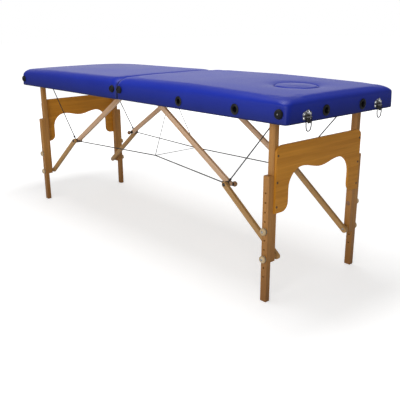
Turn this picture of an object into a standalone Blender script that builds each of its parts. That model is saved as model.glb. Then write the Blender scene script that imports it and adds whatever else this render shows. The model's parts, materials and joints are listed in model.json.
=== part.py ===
"""Portable massage table: two padded halves that fold on centre hinges, on braced legs of adjustable height.

Metres, +Z up. The origin is on the floor under the middle of the table. +X runs to the head end, which has
the face opening and the draw latches. "right" is the -Y side and "left" is the +Y side.
"""

import math

import bmesh
import bpy
from mathutils import Vector

# Overall size
LENGTH = 1.860
WIDTH = 0.580
FRAME_BOTTOM = 0.636
RAIL_DEPTH = 0.048
DECK_THICKNESS = 0.004
CUSHION_THICKNESS = 0.0394
GAP = 0.0003

# Frame of each half
RAIL_THICKNESS = 0.016
VINYL = 0.002
FRAME_CORNER = 0.020
HINGE_GAP = 0.0022
CUSHION_GAP = 0.001
SOCKET_RADIUS = 0.011
SOCKET_Z = FRAME_BOTTOM + 0.027
HEADREST_SOCKET_Y = 0.0995
ARMREST_SOCKET_X = (0.417, 0.710)

# Cushion shape, face opening and its plug
CORNER_RADIUS = 0.040
EDGE_RADIUS = 0.034
FACE_X = LENGTH / 2 - 0.207
FACE_RADII = (0.080, 0.076)
PLUG_CLEARANCE = 0.001
PLUG_LEDGE = 0.010

# Legs: the lower leg slides on the outer face of the upper leg
LEG_X = 0.826
LEG_WIDTH = 0.026
LEG_THICKNESS = 0.021
LOWER_LEG_TOP = 0.4534
LOWER_LEG_OUTER = 0.2565
UPPER_LEG_BOTTOM = 0.1455
LEG_PIVOT_Z = FRAME_BOTTOM + 0.024
ROD_RADIUS = 0.004
ROD_CLEARANCE = 0.0003
HOLE_PITCH = 0.0335
HOLE_COUNT = 10
HOLE_TOP_Z = 0.3945
HOLE_RADIUS = 0.0035
UPPER_KNOB_Z = 0.2605
LOWER_KNOB_Z = 0.160
KNOB_RADIUS = 0.013
KNOB_DEPTH = 0.013

# End panel between the legs
PANEL_THICKNESS = 0.008
PANEL_HALF_WIDTH = 0.232
PANEL_TOP = 0.552
PANEL_BOTTOM = 0.322
PANEL_CORNER = (0.033, 0.022)
LOBE_INNER = 0.168
LOBE_RADIUS = 0.030
ARCH_PEAK_Y = 0.100
ARCH_PEAK_Z = 0.466
ARCH_DIP = 0.016

# Braces: two struts on each side, hinged at the knee
STRUT_DEPTH = 0.022
STRUT_THICKNESS = 0.012
KNEE_X = 0.568
KNEE_Z = 0.360
KNEE_BOSS = 0.010
FOOT_BOSS = 0.012
STRUT_BOSS_RADIUS = 0.008
FOLDED_KNEE_RISE = 0.008
STRUT_OVERHANG = 0.017
BATTEN_THICKNESS = 0.020
BATTEN_DROP = 0.038
BOLT_RADIUS = 0.003

# Cables
CABLE_RADIUS = 0.0012
TIE_RADIUS = 0.0008
CABLE_Y = 0.1855
CABLE_START = 0.0096
TIE_HEIGHT = 0.361
SPAN_PULL = {"right": 0.094, "left": 0.151}
CABLE_STEP = 0.030

# Centre hinges
HINGE_Y = (-0.235, 0.0, 0.235)
HINGE_HALF = 0.039
HINGE_LEAF = 0.0015
HINGE_LEAF_RISE = 0.034
HINGE_AXIS_DROP = 0.0038
BARREL_RADIUS = 0.0035
PIN_RADIUS = 0.0012
PIN_BORE = 0.0016
TAB_INSET = 0.0005

# Latches, catches and handle
LATCH_Y = 0.193
LATCH_PIVOT_Z = 0.652
LATCH_PLATE = 0.003
LATCH_PLATE_HALF = (0.013, 0.018)
LATCH_EAR_Y = 0.0145
LATCH_EAR_RADIUS = 0.0085
LEVER_HALF_WIDTH = 0.010
LEVER_REACH = 0.009
BAIL_WIRE = 0.0011
BAIL_HALF_WIDTH = 0.013
BAIL_DROP = 0.044
BAIL_BENDS = (0.0025, 0.009)
HANDLE_X = 0.415
HANDLE_LENGTH = 0.155
HANDLE_WIDTH = 0.030
HANDLE_BOW = 0.016
STRAP = 0.0025

# Derived planes
RAIL_TOP = FRAME_BOTTOM + RAIL_DEPTH
DECK_BOTTOM = RAIL_TOP + GAP
DECK_TOP = DECK_BOTTOM + DECK_THICKNESS
CUSHION_BOTTOM = DECK_TOP + GAP
TOP = CUSHION_BOTTOM + CUSHION_THICKNESS
FRAME_END = LENGTH / 2 - VINYL
FRAME_SIDE = WIDTH / 2 - VINYL
LOWER_LEG_INNER = LOWER_LEG_OUTER - LEG_THICKNESS
UPPER_LEG_OUTER = LOWER_LEG_INNER - GAP
UPPER_LEG_INNER = UPPER_LEG_OUTER - LEG_THICKNESS
LOWER_STRUT_OUTER = UPPER_LEG_INNER - GAP - FOOT_BOSS
LOWER_STRUT_INNER = LOWER_STRUT_OUTER - STRUT_THICKNESS
UPPER_STRUT_OUTER = LOWER_STRUT_INNER - GAP - KNEE_BOSS
UPPER_STRUT_INNER = UPPER_STRUT_OUTER - STRUT_THICKNESS
HINGE_AXIS_Z = FRAME_BOTTOM - HINGE_AXIS_DROP
LEG_SWING = LEG_PIVOT_Z - LOWER_KNOB_Z

ENDS = {"head": 1, "foot": -1}
SIDES = {"right": -1, "left": 1}

# Colour, roughness and metallic value of each finish
FINISHES = {
    "vinyl": ((0.026, 0.053, 0.38, 1), 0.35, 0.0),
    "plywood_deck": ((0.55, 0.38, 0.22, 1), 0.6, 0.0),
    "frame_wood": ((0.42, 0.27, 0.15, 1), 0.5, 0.0),
    "leg_wood": ((0.40, 0.21, 0.11, 1), 0.45, 0.0),
    "strut_wood": ((0.58, 0.40, 0.25, 1), 0.5, 0.0),
    "panel_ply": ((0.43, 0.18, 0.015, 1), 0.35, 0.0),
    "knob_wood": ((0.50, 0.36, 0.20, 1), 0.45, 0.0),
    "steel": ((0.45, 0.45, 0.46, 1), 0.35, 1.0),
    "chrome": ((0.78, 0.79, 0.80, 1), 0.12, 1.0),
    "cable": ((0.09, 0.09, 0.10, 1), 0.45, 0.0),
    "webbing": ((0.03, 0.07, 0.42, 1), 0.8, 0.0),
}


def strut_top_x():
    """Where the upper strut pivots, so that the folded knee lies just above the folded leg's line."""
    lower = math.hypot(LEG_X - KNEE_X, KNEE_Z - LOWER_KNOB_Z)
    drop = LEG_PIVOT_Z - KNEE_Z
    folded_knee_x = LEG_X - LEG_SWING + math.sqrt(lower**2 - FOLDED_KNEE_RISE**2)
    spare = folded_knee_x**2 + FOLDED_KNEE_RISE**2 - KNEE_X**2 - drop**2
    return spare / (2 * (folded_knee_x - KNEE_X))


STRUT_TOP_X = strut_top_x()


def clear_scene():
    for obj in list(bpy.data.objects):
        bpy.data.objects.remove(obj, do_unlink=True)


# ---------------------------------------------------------------- modelling helpers


def point(axis, a, b, t):
    """A point from its place t along an axis and its two other coordinates, in X, Y, Z order."""
    return {"X": (t, a, b), "Y": (a, t, b), "Z": (a, b, t)}[axis]


def prism(outline, axis, low, high):
    """A closed outline pushed along an axis from low to high."""
    bm = bmesh.new()
    base = [bm.verts.new(point(axis, a, b, low)) for a, b in outline]
    far = [bm.verts.new(point(axis, a, b, high)) for a, b in outline]
    bm.faces.new(base)
    bm.faces.new(reversed(far))
    count = len(outline)
    for i in range(count):
        j = (i + 1) % count
        bm.faces.new((base[i], far[i], far[j], base[j]))
    bmesh.ops.recalc_face_normals(bm, faces=bm.faces)
    return bm


def rectangle(a0, a1, b0, b1):
    return [(a0, b0), (a1, b0), (a1, b1), (a0, b1)]


def block(x, y, z):
    """A box from three (low, high) pairs."""
    return prism(rectangle(*sorted(x), *sorted(y)), "Z", *sorted(z))


def arc(centre, radii, start, stop, steps):
    """Points on an ellipse's arc, angles in degrees, both ends included."""
    points = []
    for i in range(steps + 1):
        angle = math.radians(start + (stop - start) * i / steps)
        points.append((centre[0] + radii[0] * math.cos(angle), centre[1] + radii[1] * math.sin(angle)))
    return points


def circle(centre, radii, steps):
    return arc(centre, radii, 0, 360 * (steps - 1) / steps, steps - 1)


def slat(start, end, radius, overhang=0.0, steps=8):
    """A straight bar's outline with round ends about start and end; overhang lengthens it at the start."""
    run = Vector(end) - Vector(start)
    start = Vector(start) - run.normalized() * overhang
    turn = math.degrees(math.atan2(run.y, run.x))
    tail = arc(start, (radius, radius), turn + 90, turn + 270, steps)
    nose = arc(end, (radius, radius), turn - 90, turn + 90, steps)
    return tail + nose


def rounded_rectangle(x, y, radius, steps=6):
    x0, x1 = x
    y0, y1 = y
    outline = []
    for cx, cy, start in (
        (x1 - radius, y1 - radius, 0),
        (x0 + radius, y1 - radius, 90),
        (x0 + radius, y0 + radius, 180),
        (x1 - radius, y0 + radius, 270),
    ):
        outline += arc((cx, cy), (radius, radius), start, start + 90, steps)
    return outline


def lofted(loops, endless=False):
    """A closed solid through rings of matching points, capped at both ends or joined into a sleeve."""
    bm = bmesh.new()
    rings = [[bm.verts.new(p) for p in loop] for loop in loops]
    if endless:
        rings.append(rings[0])
    else:
        bm.faces.new(rings[0])
        bm.faces.new(rings[-1])
    for low, high in zip(rings, rings[1:]):
        for i in range(len(low)):
            j = (i + 1) % len(low)
            bm.faces.new((low[i], low[j], high[j], high[i]))
    bmesh.ops.recalc_face_normals(bm, faces=bm.faces)
    return bm


def paint(obj, finish):
    colour, roughness, metallic = FINISHES[finish]
    material = bpy.data.materials.new(f"{obj.name}_{finish}")
    material.use_nodes = True
    shader = material.node_tree.nodes["Principled BSDF"]
    shader.inputs["Base Color"].default_value = colour
    shader.inputs["Roughness"].default_value = roughness
    shader.inputs["Metallic"].default_value = metallic
    material.diffuse_color = colour
    obj.data.materials.append(material)


def put(obj, origin, parent):
    """Sets the object's place, under its parent if it has one."""
    obj.location = Vector(origin) - (parent.location if parent else Vector())
    obj.parent = parent
    bpy.context.scene.collection.objects.link(obj)


def solid(name, bm, finish, origin=(0, 0, 0), parent=None, edge=0.0, smooth=False):
    """An object from a mesh in world coordinates, with its origin moved to a pivot or reference point."""
    bmesh.ops.translate(bm, verts=bm.verts, vec=-Vector(origin))
    mesh = bpy.data.meshes.new(name)
    bm.to_mesh(mesh)
    bm.free()
    obj = bpy.data.objects.new(name, mesh)
    put(obj, origin, parent)
    paint(obj, finish)
    if smooth:
        mesh.shade_smooth()
        mesh.set_sharp_from_angle(angle=math.radians(35))
    if edge:
        bevel = obj.modifiers.new("eased_edges", "BEVEL")
        bevel.width = edge
        bevel.segments = 1
        bevel.limit_method = "ANGLE"
        bevel.angle_limit = math.radians(50)
    return obj


def combine(obj, bm, operation):
    """Cuts a mesh from the object or adds one to it, with an exact Boolean."""
    mesh = bpy.data.meshes.new(f"{obj.name}_tool")
    bmesh.ops.recalc_face_normals(bm, faces=bm.faces)
    bm.to_mesh(mesh)
    bm.free()
    tool = bpy.data.objects.new(f"{obj.name}_tool", mesh)
    tool.hide_render = True
    tool.display_type = "WIRE"
    bpy.context.scene.collection.objects.link(tool)
    step = obj.modifiers.new(operation.lower(), "BOOLEAN")
    step.operation = operation
    step.solver = "EXACT"
    step.object = tool


def bars(axis, centres, radius, low, high, steps=12):
    """Parallel round bars in one mesh, for drilling several holes at once."""
    whole = bmesh.new()
    scrap = bpy.data.meshes.new("bar")
    for centre in centres:
        bm = prism(circle(centre, (radius, radius), steps), axis, low, high)
        bm.to_mesh(scrap)
        bm.free()
        whole.from_mesh(scrap)
    bpy.data.meshes.remove(scrap)
    return whole


def pivot(name, place):
    """An empty on a joint's axis, which carries the pieces that turn about it."""
    empty = bpy.data.objects.new(name, None)
    empty.location = place
    empty.empty_display_size = 0.05
    bpy.context.scene.collection.objects.link(empty)
    return empty


def cable(name, route, radius):
    """A taut cable through the route's points, with filled ends and evenly spaced points."""
    points = [Vector(route[0])]
    for start, end in zip(route, route[1:]):
        run = Vector(end) - Vector(start)
        count = max(1, round(run.length / CABLE_STEP))
        points += [Vector(start) + run * (i + 1) / count for i in range(count)]
    curve = bpy.data.curves.new(name, "CURVE")
    curve.dimensions = "3D"
    curve.bevel_depth = radius
    curve.bevel_resolution = 2
    curve.use_fill_caps = True
    spline = curve.splines.new("POLY")
    spline.points.add(len(points) - 1)
    for knot, place in zip(spline.points, points):
        knot.co = (*(place - points[0]), 1)
    obj = bpy.data.objects.new(name, curve)
    put(obj, points[0], None)
    paint(obj, "cable")


# ---------------------------------------------------------------- padded top


def cushion(end, sx):
    """A padded slab with round plan corners and a rolled top edge; the head one has the face opening."""
    x = sorted((sx * CUSHION_GAP, sx * LENGTH / 2))
    steps = 6
    loops = []
    for i in range(steps + 1):
        angle = math.radians(90 * i / steps)
        inset = EDGE_RADIUS * (1 - math.cos(angle))
        height = TOP - EDGE_RADIUS * (1 - math.sin(angle))
        outline = rounded_rectangle(
            (x[0] + inset, x[1] - inset), (-WIDTH / 2 + inset, WIDTH / 2 - inset), CORNER_RADIUS - inset
        )
        loops.append([(a, b, height) for a, b in outline])
    base = [(a, b, CUSHION_BOTTOM) for a, b, _ in loops[0]]
    obj = solid(f"{end}_cushion", lofted([base] + loops), "vinyl", smooth=True)
    if end == "head":
        hole = prism(circle((FACE_X, 0), FACE_RADII, 40), "Z", CUSHION_BOTTOM - 0.01, TOP + 0.01)
        combine(obj, hole, "DIFFERENCE")


def face_plug():
    """The padded plug of the face opening: it rests on the deck and its boss sits in the deck's hole."""
    pad = [r - PLUG_CLEARANCE for r in FACE_RADII]
    boss = [r - PLUG_LEDGE - PLUG_CLEARANCE for r in FACE_RADII]
    levels = (
        (boss, DECK_BOTTOM),
        (boss, CUSHION_BOTTOM),
        (pad, CUSHION_BOTTOM),
        (pad, TOP - 0.006),
        ([r - 0.002 for r in pad], TOP - 0.002),
        ([r - 0.006 for r in pad], TOP),
    )
    loops = [[(a, b, z) for a, b in circle((FACE_X, 0), radii, 40)] for radii, z in levels]
    solid("face_plug", lofted(loops), "vinyl", origin=(FACE_X, 0, TOP), smooth=True)


def frame_outline(sx):
    """The plan shape of a half's frame and deck, with round corners."""
    x = sorted((sx * HINGE_GAP, sx * FRAME_END))
    return rounded_rectangle(x, (-FRAME_SIDE, FRAME_SIDE), FRAME_CORNER)


def deck(end, sx):
    """The thin plywood sheet that the cushion is bonded to."""
    outline = frame_outline(sx)
    obj = solid(f"{end}_deck", prism(outline, "Z", DECK_BOTTOM, DECK_TOP), "plywood_deck")
    if end == "head":
        radii = [r - PLUG_LEDGE for r in FACE_RADII]
        hole = prism(circle((FACE_X, 0), radii, 40), "Z", DECK_BOTTOM - 0.01, DECK_TOP + 0.01)
        combine(obj, hole, "DIFFERENCE")


# ---------------------------------------------------------------- frame of each half


def frame(end, sx):
    """Four rails in a ring; the head one is drilled for a headrest and, on its right side, an armrest."""
    rails = prism(frame_outline(sx), "Z", FRAME_BOTTOM, RAIL_TOP)
    obj = solid(f"{end}_frame", rails, "frame_wood", edge=0.0012)
    inner_x = (sx * (HINGE_GAP + RAIL_THICKNESS), sx * (FRAME_END - RAIL_THICKNESS))
    inner_y = FRAME_SIDE - RAIL_THICKNESS
    hollow = block(inner_x, (-inner_y, inner_y), (FRAME_BOTTOM - 0.02, RAIL_TOP + 0.02))
    combine(obj, hollow, "DIFFERENCE")
    if end == "head":
        end_holes = [(side * HEADREST_SOCKET_Y, SOCKET_Z) for side in SIDES.values()]
        outside = FRAME_END + 0.01
        combine(obj, bars("X", end_holes, SOCKET_RADIUS, outside - 0.04, outside, 20), "DIFFERENCE")
        side_holes = [(place, SOCKET_Z) for place in ARMREST_SOCKET_X]
        outside = -FRAME_SIDE - 0.01
        combine(obj, bars("Y", side_holes, SOCKET_RADIUS, outside, outside + 0.04, 20), "DIFFERENCE")


def cross_batten(end, sx):
    """The batten under the deck that both upper struts pivot on."""
    centre = sx * STRUT_TOP_X
    x = (centre - BATTEN_THICKNESS / 2, centre + BATTEN_THICKNESS / 2)
    y = UPPER_STRUT_INNER - GAP
    bm = block(x, (-y, y), (RAIL_TOP - BATTEN_DROP, RAIL_TOP))
    solid(f"{end}_cross_batten", bm, "frame_wood", edge=0.0012)


def leg_rod(end, sx):
    """The steel rod between the side rails that the legs swing on."""
    reach = FRAME_SIDE - RAIL_THICKNESS - GAP
    bm = bars("Y", [(sx * LEG_X, LEG_PIVOT_Z)], ROD_RADIUS, -reach, reach, 16)
    solid(f"{end}_leg_rod", bm, "steel", origin=(sx * LEG_X, 0, LEG_PIVOT_Z), smooth=True)


# ---------------------------------------------------------------- legs


def upper_leg(end, sx, side, sy, parent):
    x = sx * LEG_X
    half = LEG_WIDTH / 2
    outline = arc((x, LEG_PIVOT_Z), (half, half), 0, 180, 10)
    outline += [(x - half, UPPER_LEG_BOTTOM), (x + half, UPPER_LEG_BOTTOM)]
    low, high = sorted((sy * UPPER_LEG_INNER, sy * UPPER_LEG_OUTER))
    obj = solid(
        f"{end}_{side}_upper_leg",
        prism(outline, "Y", low, high),
        "leg_wood",
        origin=(x, sy * UPPER_LEG_OUTER, LEG_PIVOT_Z),
        parent=parent,
        edge=0.0012,
    )
    rod_bore = bars("Y", [(x, LEG_PIVOT_Z)], ROD_RADIUS + ROD_CLEARANCE, low - 0.01, high + 0.01, 16)
    combine(obj, rod_bore, "DIFFERENCE")
    knob_bores = [(x, UPPER_KNOB_Z), (x, LOWER_KNOB_Z)]
    combine(obj, bars("Y", knob_bores, HOLE_RADIUS, low - 0.01, high + 0.01), "DIFFERENCE")


def lower_leg(end, sx, side, sy, parent):
    """The sliding leg, with its row of height holes."""
    x = sx * LEG_X
    half = LEG_WIDTH / 2
    low, high = sorted((sy * LOWER_LEG_INNER, sy * LOWER_LEG_OUTER))
    obj = solid(
        f"{end}_{side}_lower_leg",
        block((x - half, x + half), (low, high), (0, LOWER_LEG_TOP)),
        "leg_wood",
        origin=(x, sy * LOWER_LEG_INNER, LOWER_LEG_TOP),
        parent=parent,
        edge=0.0012,
    )
    centres = [(x, HOLE_TOP_Z - i * HOLE_PITCH) for i in range(HOLE_COUNT)]
    combine(obj, bars("Y", centres, HOLE_RADIUS, low - 0.01, high + 0.01), "DIFFERENCE")


def knob(name, sx, sy, z, parent):
    """A turned clamping knob: a foot, a waist and a domed rim."""
    x = sx * LEG_X
    base = LOWER_LEG_OUTER + GAP
    profile = ((0.72, 0.0), (0.72, 0.18), (1.0, 0.32), (1.0, 0.80), (0.86, 1.0))
    loops = []
    for width, depth in profile:
        ring = circle((x, z), (KNOB_RADIUS * width, KNOB_RADIUS * width), 20)
        loops.append([(a, sy * (base + KNOB_DEPTH * depth), b) for a, b in ring])
    solid(name, lofted(loops), "knob_wood", origin=(x, sy * base, z), parent=parent, smooth=True)


def panel_half_outline():
    """The end panel's outline from the middle of its lower edge, out and up to the middle of its top."""
    wave = []
    for i in range(8):
        y = ARCH_PEAK_Y * i / 8
        wave.append((y, ARCH_PEAK_Z - ARCH_DIP / 2 * (1 + math.cos(math.pi * y / ARCH_PEAK_Y))))
    shoulder = LOBE_INNER - ARCH_PEAK_Y
    wave += arc((ARCH_PEAK_Y, ARCH_PEAK_Z - shoulder), (shoulder, shoulder), 90, 0, 10)
    corner = (LOBE_INNER + LOBE_RADIUS, PANEL_BOTTOM + LOBE_RADIUS)
    wave += arc(corner, (LOBE_RADIUS, LOBE_RADIUS), 180, 270, 6)
    wave.append((PANEL_HALF_WIDTH, PANEL_BOTTOM))
    top_corner = (PANEL_HALF_WIDTH - PANEL_CORNER[0], PANEL_TOP - PANEL_CORNER[1])
    wave += arc(top_corner, PANEL_CORNER, 0, 90, 6)
    return wave


def end_panel(end, sx, parent):
    """The plywood panel screwed across the outer faces of both legs, with an arched lower edge."""
    half = panel_half_outline()
    mirrored = [(-a, b) for a, b in reversed(half[1:])]
    inner = LEG_X + LEG_WIDTH / 2 + GAP
    low, high = sorted((sx * inner, sx * (inner + PANEL_THICKNESS)))
    panel = prism(half + mirrored, "X", low, high)
    origin = (sx * LEG_X, 0, LEG_PIVOT_Z)
    solid(f"{end}_end_panel", panel, "panel_ply", origin=origin, parent=parent)


# ---------------------------------------------------------------- braces


def lower_strut(end, sx, side, sy, parent):
    """From the lower knob's axis to the knee, with an overhang at its foot and a boss out to the leg."""
    start = (sx * LEG_X, LOWER_KNOB_Z)
    knee = (sx * KNEE_X, KNEE_Z)
    outline = slat(start, knee, STRUT_DEPTH / 2, STRUT_OVERHANG - STRUT_DEPTH / 2)
    low, high = sorted((sy * LOWER_STRUT_INNER, sy * LOWER_STRUT_OUTER))
    origin = (start[0], sy * LOWER_STRUT_OUTER, start[1])
    name = f"{end}_{side}_lower_strut"
    obj = solid(name, prism(outline, "Y", low, high), "strut_wood", origin=origin, parent=parent)
    inside, outside = sorted((sy * (LOWER_STRUT_OUTER - 0.004), sy * (UPPER_LEG_INNER - GAP)))
    combine(obj, bars("Y", [start], STRUT_BOSS_RADIUS, inside, outside, 20), "UNION")
    low, high = min(low, inside), max(high, outside)
    combine(obj, bars("Y", [start, knee], BOLT_RADIUS, low - 0.01, high + 0.01), "DIFFERENCE")


def upper_strut(end, sx, side, sy, parent):
    """From the cross batten under the deck down to the knee, with a boss out to the lower strut."""
    start = (sx * STRUT_TOP_X, LEG_PIVOT_Z)
    knee = (sx * KNEE_X, KNEE_Z)
    outline = slat(start, knee, STRUT_DEPTH / 2)
    low, high = sorted((sy * UPPER_STRUT_INNER, sy * UPPER_STRUT_OUTER))
    origin = (start[0], sy * UPPER_STRUT_OUTER, start[1])
    name = f"{end}_{side}_upper_strut"
    obj = solid(name, prism(outline, "Y", low, high), "strut_wood", origin=origin, parent=parent)
    inside, outside = sorted((sy * (UPPER_STRUT_OUTER - 0.004), sy * (LOWER_STRUT_INNER - GAP)))
    combine(obj, bars("Y", [knee], STRUT_BOSS_RADIUS, inside, outside, 20), "UNION")
    low, high = min(low, inside), max(high, outside)
    combine(obj, bars("Y", [start, knee], BOLT_RADIUS, low - 0.01, high + 0.01), "DIFFERENCE")


def legs_and_braces():
    for end, sx in ENDS.items():
        legs = pivot(f"{end}_leg_fold_axis", (sx * LEG_X, 0, LEG_PIVOT_Z))
        struts = pivot(f"{end}_upper_strut_axis", (sx * STRUT_TOP_X, 0, LEG_PIVOT_Z))
        end_panel(end, sx, legs)
        for side, sy in SIDES.items():
            upper_leg(end, sx, side, sy, legs)
            lower_leg(end, sx, side, sy, legs)
            knob(f"{end}_{side}_upper_knob", sx, sy, UPPER_KNOB_Z, legs)
            knob(f"{end}_{side}_lower_knob", sx, sy, LOWER_KNOB_Z, legs)
            lower_strut(end, sx, side, sy, legs)
            upper_strut(end, sx, side, sy, struts)


# ---------------------------------------------------------------- cables


def knee_cable(end, sx, side, sy):
    """Holds the knee up towards the leg rod."""
    knee = Vector((sx * KNEE_X, sy * CABLE_Y, KNEE_Z))
    rod = Vector((sx * LEG_X, sy * CABLE_Y, LEG_PIVOT_Z))
    run = (rod - knee).normalized()
    cable(f"{end}_{side}_knee_cable", [knee + run * CABLE_START, rod - run * 0.006], CABLE_RADIUS)


def centre_cables():
    """Along each side from knee to knee, drawn inward in the middle by thin ties to the middle hinge."""
    middles = {}
    for side, sy in SIDES.items():
        middle = Vector((0, sy * SPAN_PULL[side], TIE_HEIGHT))
        head_knee = Vector((KNEE_X - CABLE_START, sy * CABLE_Y, KNEE_Z))
        foot_knee = Vector((-head_knee.x, head_knee.y, head_knee.z))
        cable(f"{side}_span_cable", [head_knee, middle, foot_knee], CABLE_RADIUS)
        anchor = Vector((0.010, sy * 0.006, FRAME_BOTTOM - 0.0025))
        run = (anchor - middle).normalized()
        cable(f"{side}_centre_tie", [middle + run * 0.003, anchor], TIE_RADIUS)
        middles[side] = middle
    across = Vector((0, 0.003, 0))
    cable("cross_tie", [middles["right"] + across, middles["left"] - across], TIE_RADIUS)


# ---------------------------------------------------------------- centre hinges


def knuckle_zones(y, indices):
    """The (low, high) stretches along the hinge of the knuckles with these numbers, 0 to 4."""
    pitch = 2 * HINGE_HALF / 5
    start = y - HINGE_HALF
    return [(start + i * pitch + GAP / 2, start + (i + 1) * pitch - GAP / 2) for i in indices]


def comb_plate(sx, y, zones):
    """A hinge's leaf in the joint between the halves, with a tab down to each of its own knuckles."""
    shoulder = FRAME_BOTTOM + 0.0008
    tab_end = HINGE_AXIS_Z + 0.0024
    top = FRAME_BOTTOM + HINGE_LEAF_RISE
    outline = [(y + HINGE_HALF, top), (y - HINGE_HALF, top)]
    outline.append((y - HINGE_HALF, shoulder))
    for low, high in zones:
        tab = (low + TAB_INSET, high - TAB_INSET)
        outline += [(tab[0], shoulder), (tab[0], tab_end), (tab[1], tab_end), (tab[1], shoulder)]
    outline.append((y + HINGE_HALF, shoulder))
    low, high = sorted((sx * 0.0004, sx * (0.0004 + HINGE_LEAF)))
    return prism(outline, "X", low, high)


def barrel(radii_and_places, endless=False):
    """A turned solid about the hinge's axis, from (radius, place along Y) pairs."""
    loops = []
    for radius, place in radii_and_places:
        ring = circle((0, HINGE_AXIS_Z), (radius, radius), 16)
        loops.append([(a, place, b) for a, b in ring])
    return lofted(loops, endless)


def hinge(name, y):
    """A butt hinge: the head leaf carries the pin and three knuckles, the foot leaf has two."""
    origin = (0, y, HINGE_AXIS_Z)
    pinned = knuckle_zones(y, (0, 2, 4))
    profile = []
    for low, high in pinned:
        if profile:
            profile.append((PIN_RADIUS, low))
        profile += [(BARREL_RADIUS, low), (BARREL_RADIUS, high)]
        if high < y + HINGE_HALF / 2:
            profile.append((PIN_RADIUS, high))
    leaf = solid(f"head_{name}_hinge_leaf", barrel(profile), "steel", origin=origin, smooth=True)
    combine(leaf, comb_plate(1, y, pinned), "UNION")

    hollow = knuckle_zones(y, (1, 3))
    leaf = solid(f"foot_{name}_hinge_leaf", comb_plate(-1, y, hollow), "steel", origin=origin)
    for low, high in hollow:
        section = ((BARREL_RADIUS, low), (BARREL_RADIUS, high), (PIN_BORE, high), (PIN_BORE, low))
        combine(leaf, barrel(section, endless=True), "UNION")


# ---------------------------------------------------------------- latches and handle


def latch(side, sy):
    """A draw latch on the head end: a plate with two screw ears, its lever, and the lever's wire bail."""
    y = sy * LATCH_Y
    back = FRAME_END + GAP
    front = back + LATCH_PLATE
    pivot_x = front + LEVER_REACH - 0.003
    origin = (pivot_x, y, LATCH_PIVOT_Z)
    middle_z = LATCH_PIVOT_Z + 0.004
    half_y, half_z = LATCH_PLATE_HALF
    plate = rounded_rectangle((y - half_y, y + half_y), (middle_z - half_z, middle_z + half_z), 0.006, 4)
    obj = solid(f"{side}_latch_base", prism(plate, "X", back, front), "chrome", origin=origin)
    for out in SIDES.values():
        ear = (y + out * LATCH_EAR_Y, middle_z)
        combine(obj, bars("X", [ear], LATCH_EAR_RADIUS, back, front - 0.0005, 20), "UNION")
    tip = front + LEVER_REACH
    lever_outline = [
        (front - 0.001, LATCH_PIVOT_Z - 0.009),
        (tip - 0.003, LATCH_PIVOT_Z - 0.008),
        (tip, LATCH_PIVOT_Z - 0.005),
        (tip, LATCH_PIVOT_Z + 0.003),
        (tip - 0.002, LATCH_PIVOT_Z + 0.010),
        (front + 0.002, LATCH_PIVOT_Z + 0.017),
        (front - 0.001, LATCH_PIVOT_Z + 0.018),
    ]
    combine(obj, prism(lever_outline, "Y", y - LEVER_HALF_WIDTH, y + LEVER_HALF_WIDTH), "UNION")
    bail(side, origin)


def bail(side, origin):
    """A wire loop whose turned-in ends pivot in the lever's sides."""
    shoulder, foot = BAIL_BENDS
    half = [(LEVER_HALF_WIDTH + GAP, 0.0)]
    half += arc((BAIL_HALF_WIDTH - shoulder, -shoulder), (shoulder, shoulder), 90, 0, 3)
    half += arc((BAIL_HALF_WIDTH - foot, foot - BAIL_DROP), (foot, foot), 0, -90, 6)
    path = half + [(-a, b) for a, b in reversed(half)]
    wire = bpy.data.curves.new(f"{side}_latch_bail", "CURVE")
    wire.dimensions = "3D"
    wire.bevel_depth = BAIL_WIRE
    wire.bevel_resolution = 2
    wire.use_fill_caps = True
    spline = wire.splines.new("POLY")
    spline.points.add(len(path) - 1)
    for knot, (a, b) in zip(spline.points, path):
        knot.co = (0, a, b, 1)
    obj = bpy.data.objects.new(f"{side}_latch_bail", wire)
    put(obj, origin, None)
    paint(obj, "chrome")


def catch(side, sy):
    """The hook on the foot end that the bail closes over when the table is folded."""
    y = sy * LATCH_Y
    back = -FRAME_END - GAP
    outline = [
        (back, LATCH_PIVOT_Z - 0.014),
        (back, LATCH_PIVOT_Z + 0.014),
        (back - 0.0022, LATCH_PIVOT_Z + 0.014),
        (back - 0.0022, LATCH_PIVOT_Z + 0.004),
        (back - 0.0065, LATCH_PIVOT_Z + 0.004),
        (back - 0.0065, LATCH_PIVOT_Z + 0.009),
        (back - 0.0085, LATCH_PIVOT_Z + 0.009),
        (back - 0.0085, LATCH_PIVOT_Z + 0.0015),
        (back - 0.0022, LATCH_PIVOT_Z + 0.0015),
        (back - 0.0022, LATCH_PIVOT_Z - 0.014),
    ]
    solid(f"{side}_latch_catch", prism(outline, "Y", y - 0.008, y + 0.008), "chrome")


def handle():
    """A webbing strap fixed at both ends to the left side rail, bowed out in the middle."""
    face = FRAME_SIDE + GAP
    steps = 16
    inner = []
    for i in range(steps + 1):
        t = i / steps
        bow = HANDLE_BOW * math.sin(math.pi * max(0, min(1, (t - 0.12) / 0.76))) ** 2
        inner.append((HANDLE_X + HANDLE_LENGTH * (t - 0.5), face + bow))
    outer = [(a, b + STRAP) for a, b in reversed(inner)]
    z = SOCKET_Z
    bm = prism(inner + outer, "Z", z - HANDLE_WIDTH / 2, z + HANDLE_WIDTH / 2)
    solid("carry_handle", bm, "webbing", origin=(HANDLE_X, face, z), smooth=True)


def build():
    clear_scene()
    for end, sx in ENDS.items():
        cushion(end, sx)
        deck(end, sx)
        frame(end, sx)
        cross_batten(end, sx)
        leg_rod(end, sx)
    face_plug()
    legs_and_braces()
    for end, sx in ENDS.items():
        for side, sy in SIDES.items():
            knee_cable(end, sx, side, sy)
    centre_cables()
    for name, y in zip(("right", "middle", "left"), HINGE_Y):
        hinge(name, y)
    for side, sy in SIDES.items():
        latch(side, sy)
        catch(side, sy)
    handle()


build()
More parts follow.
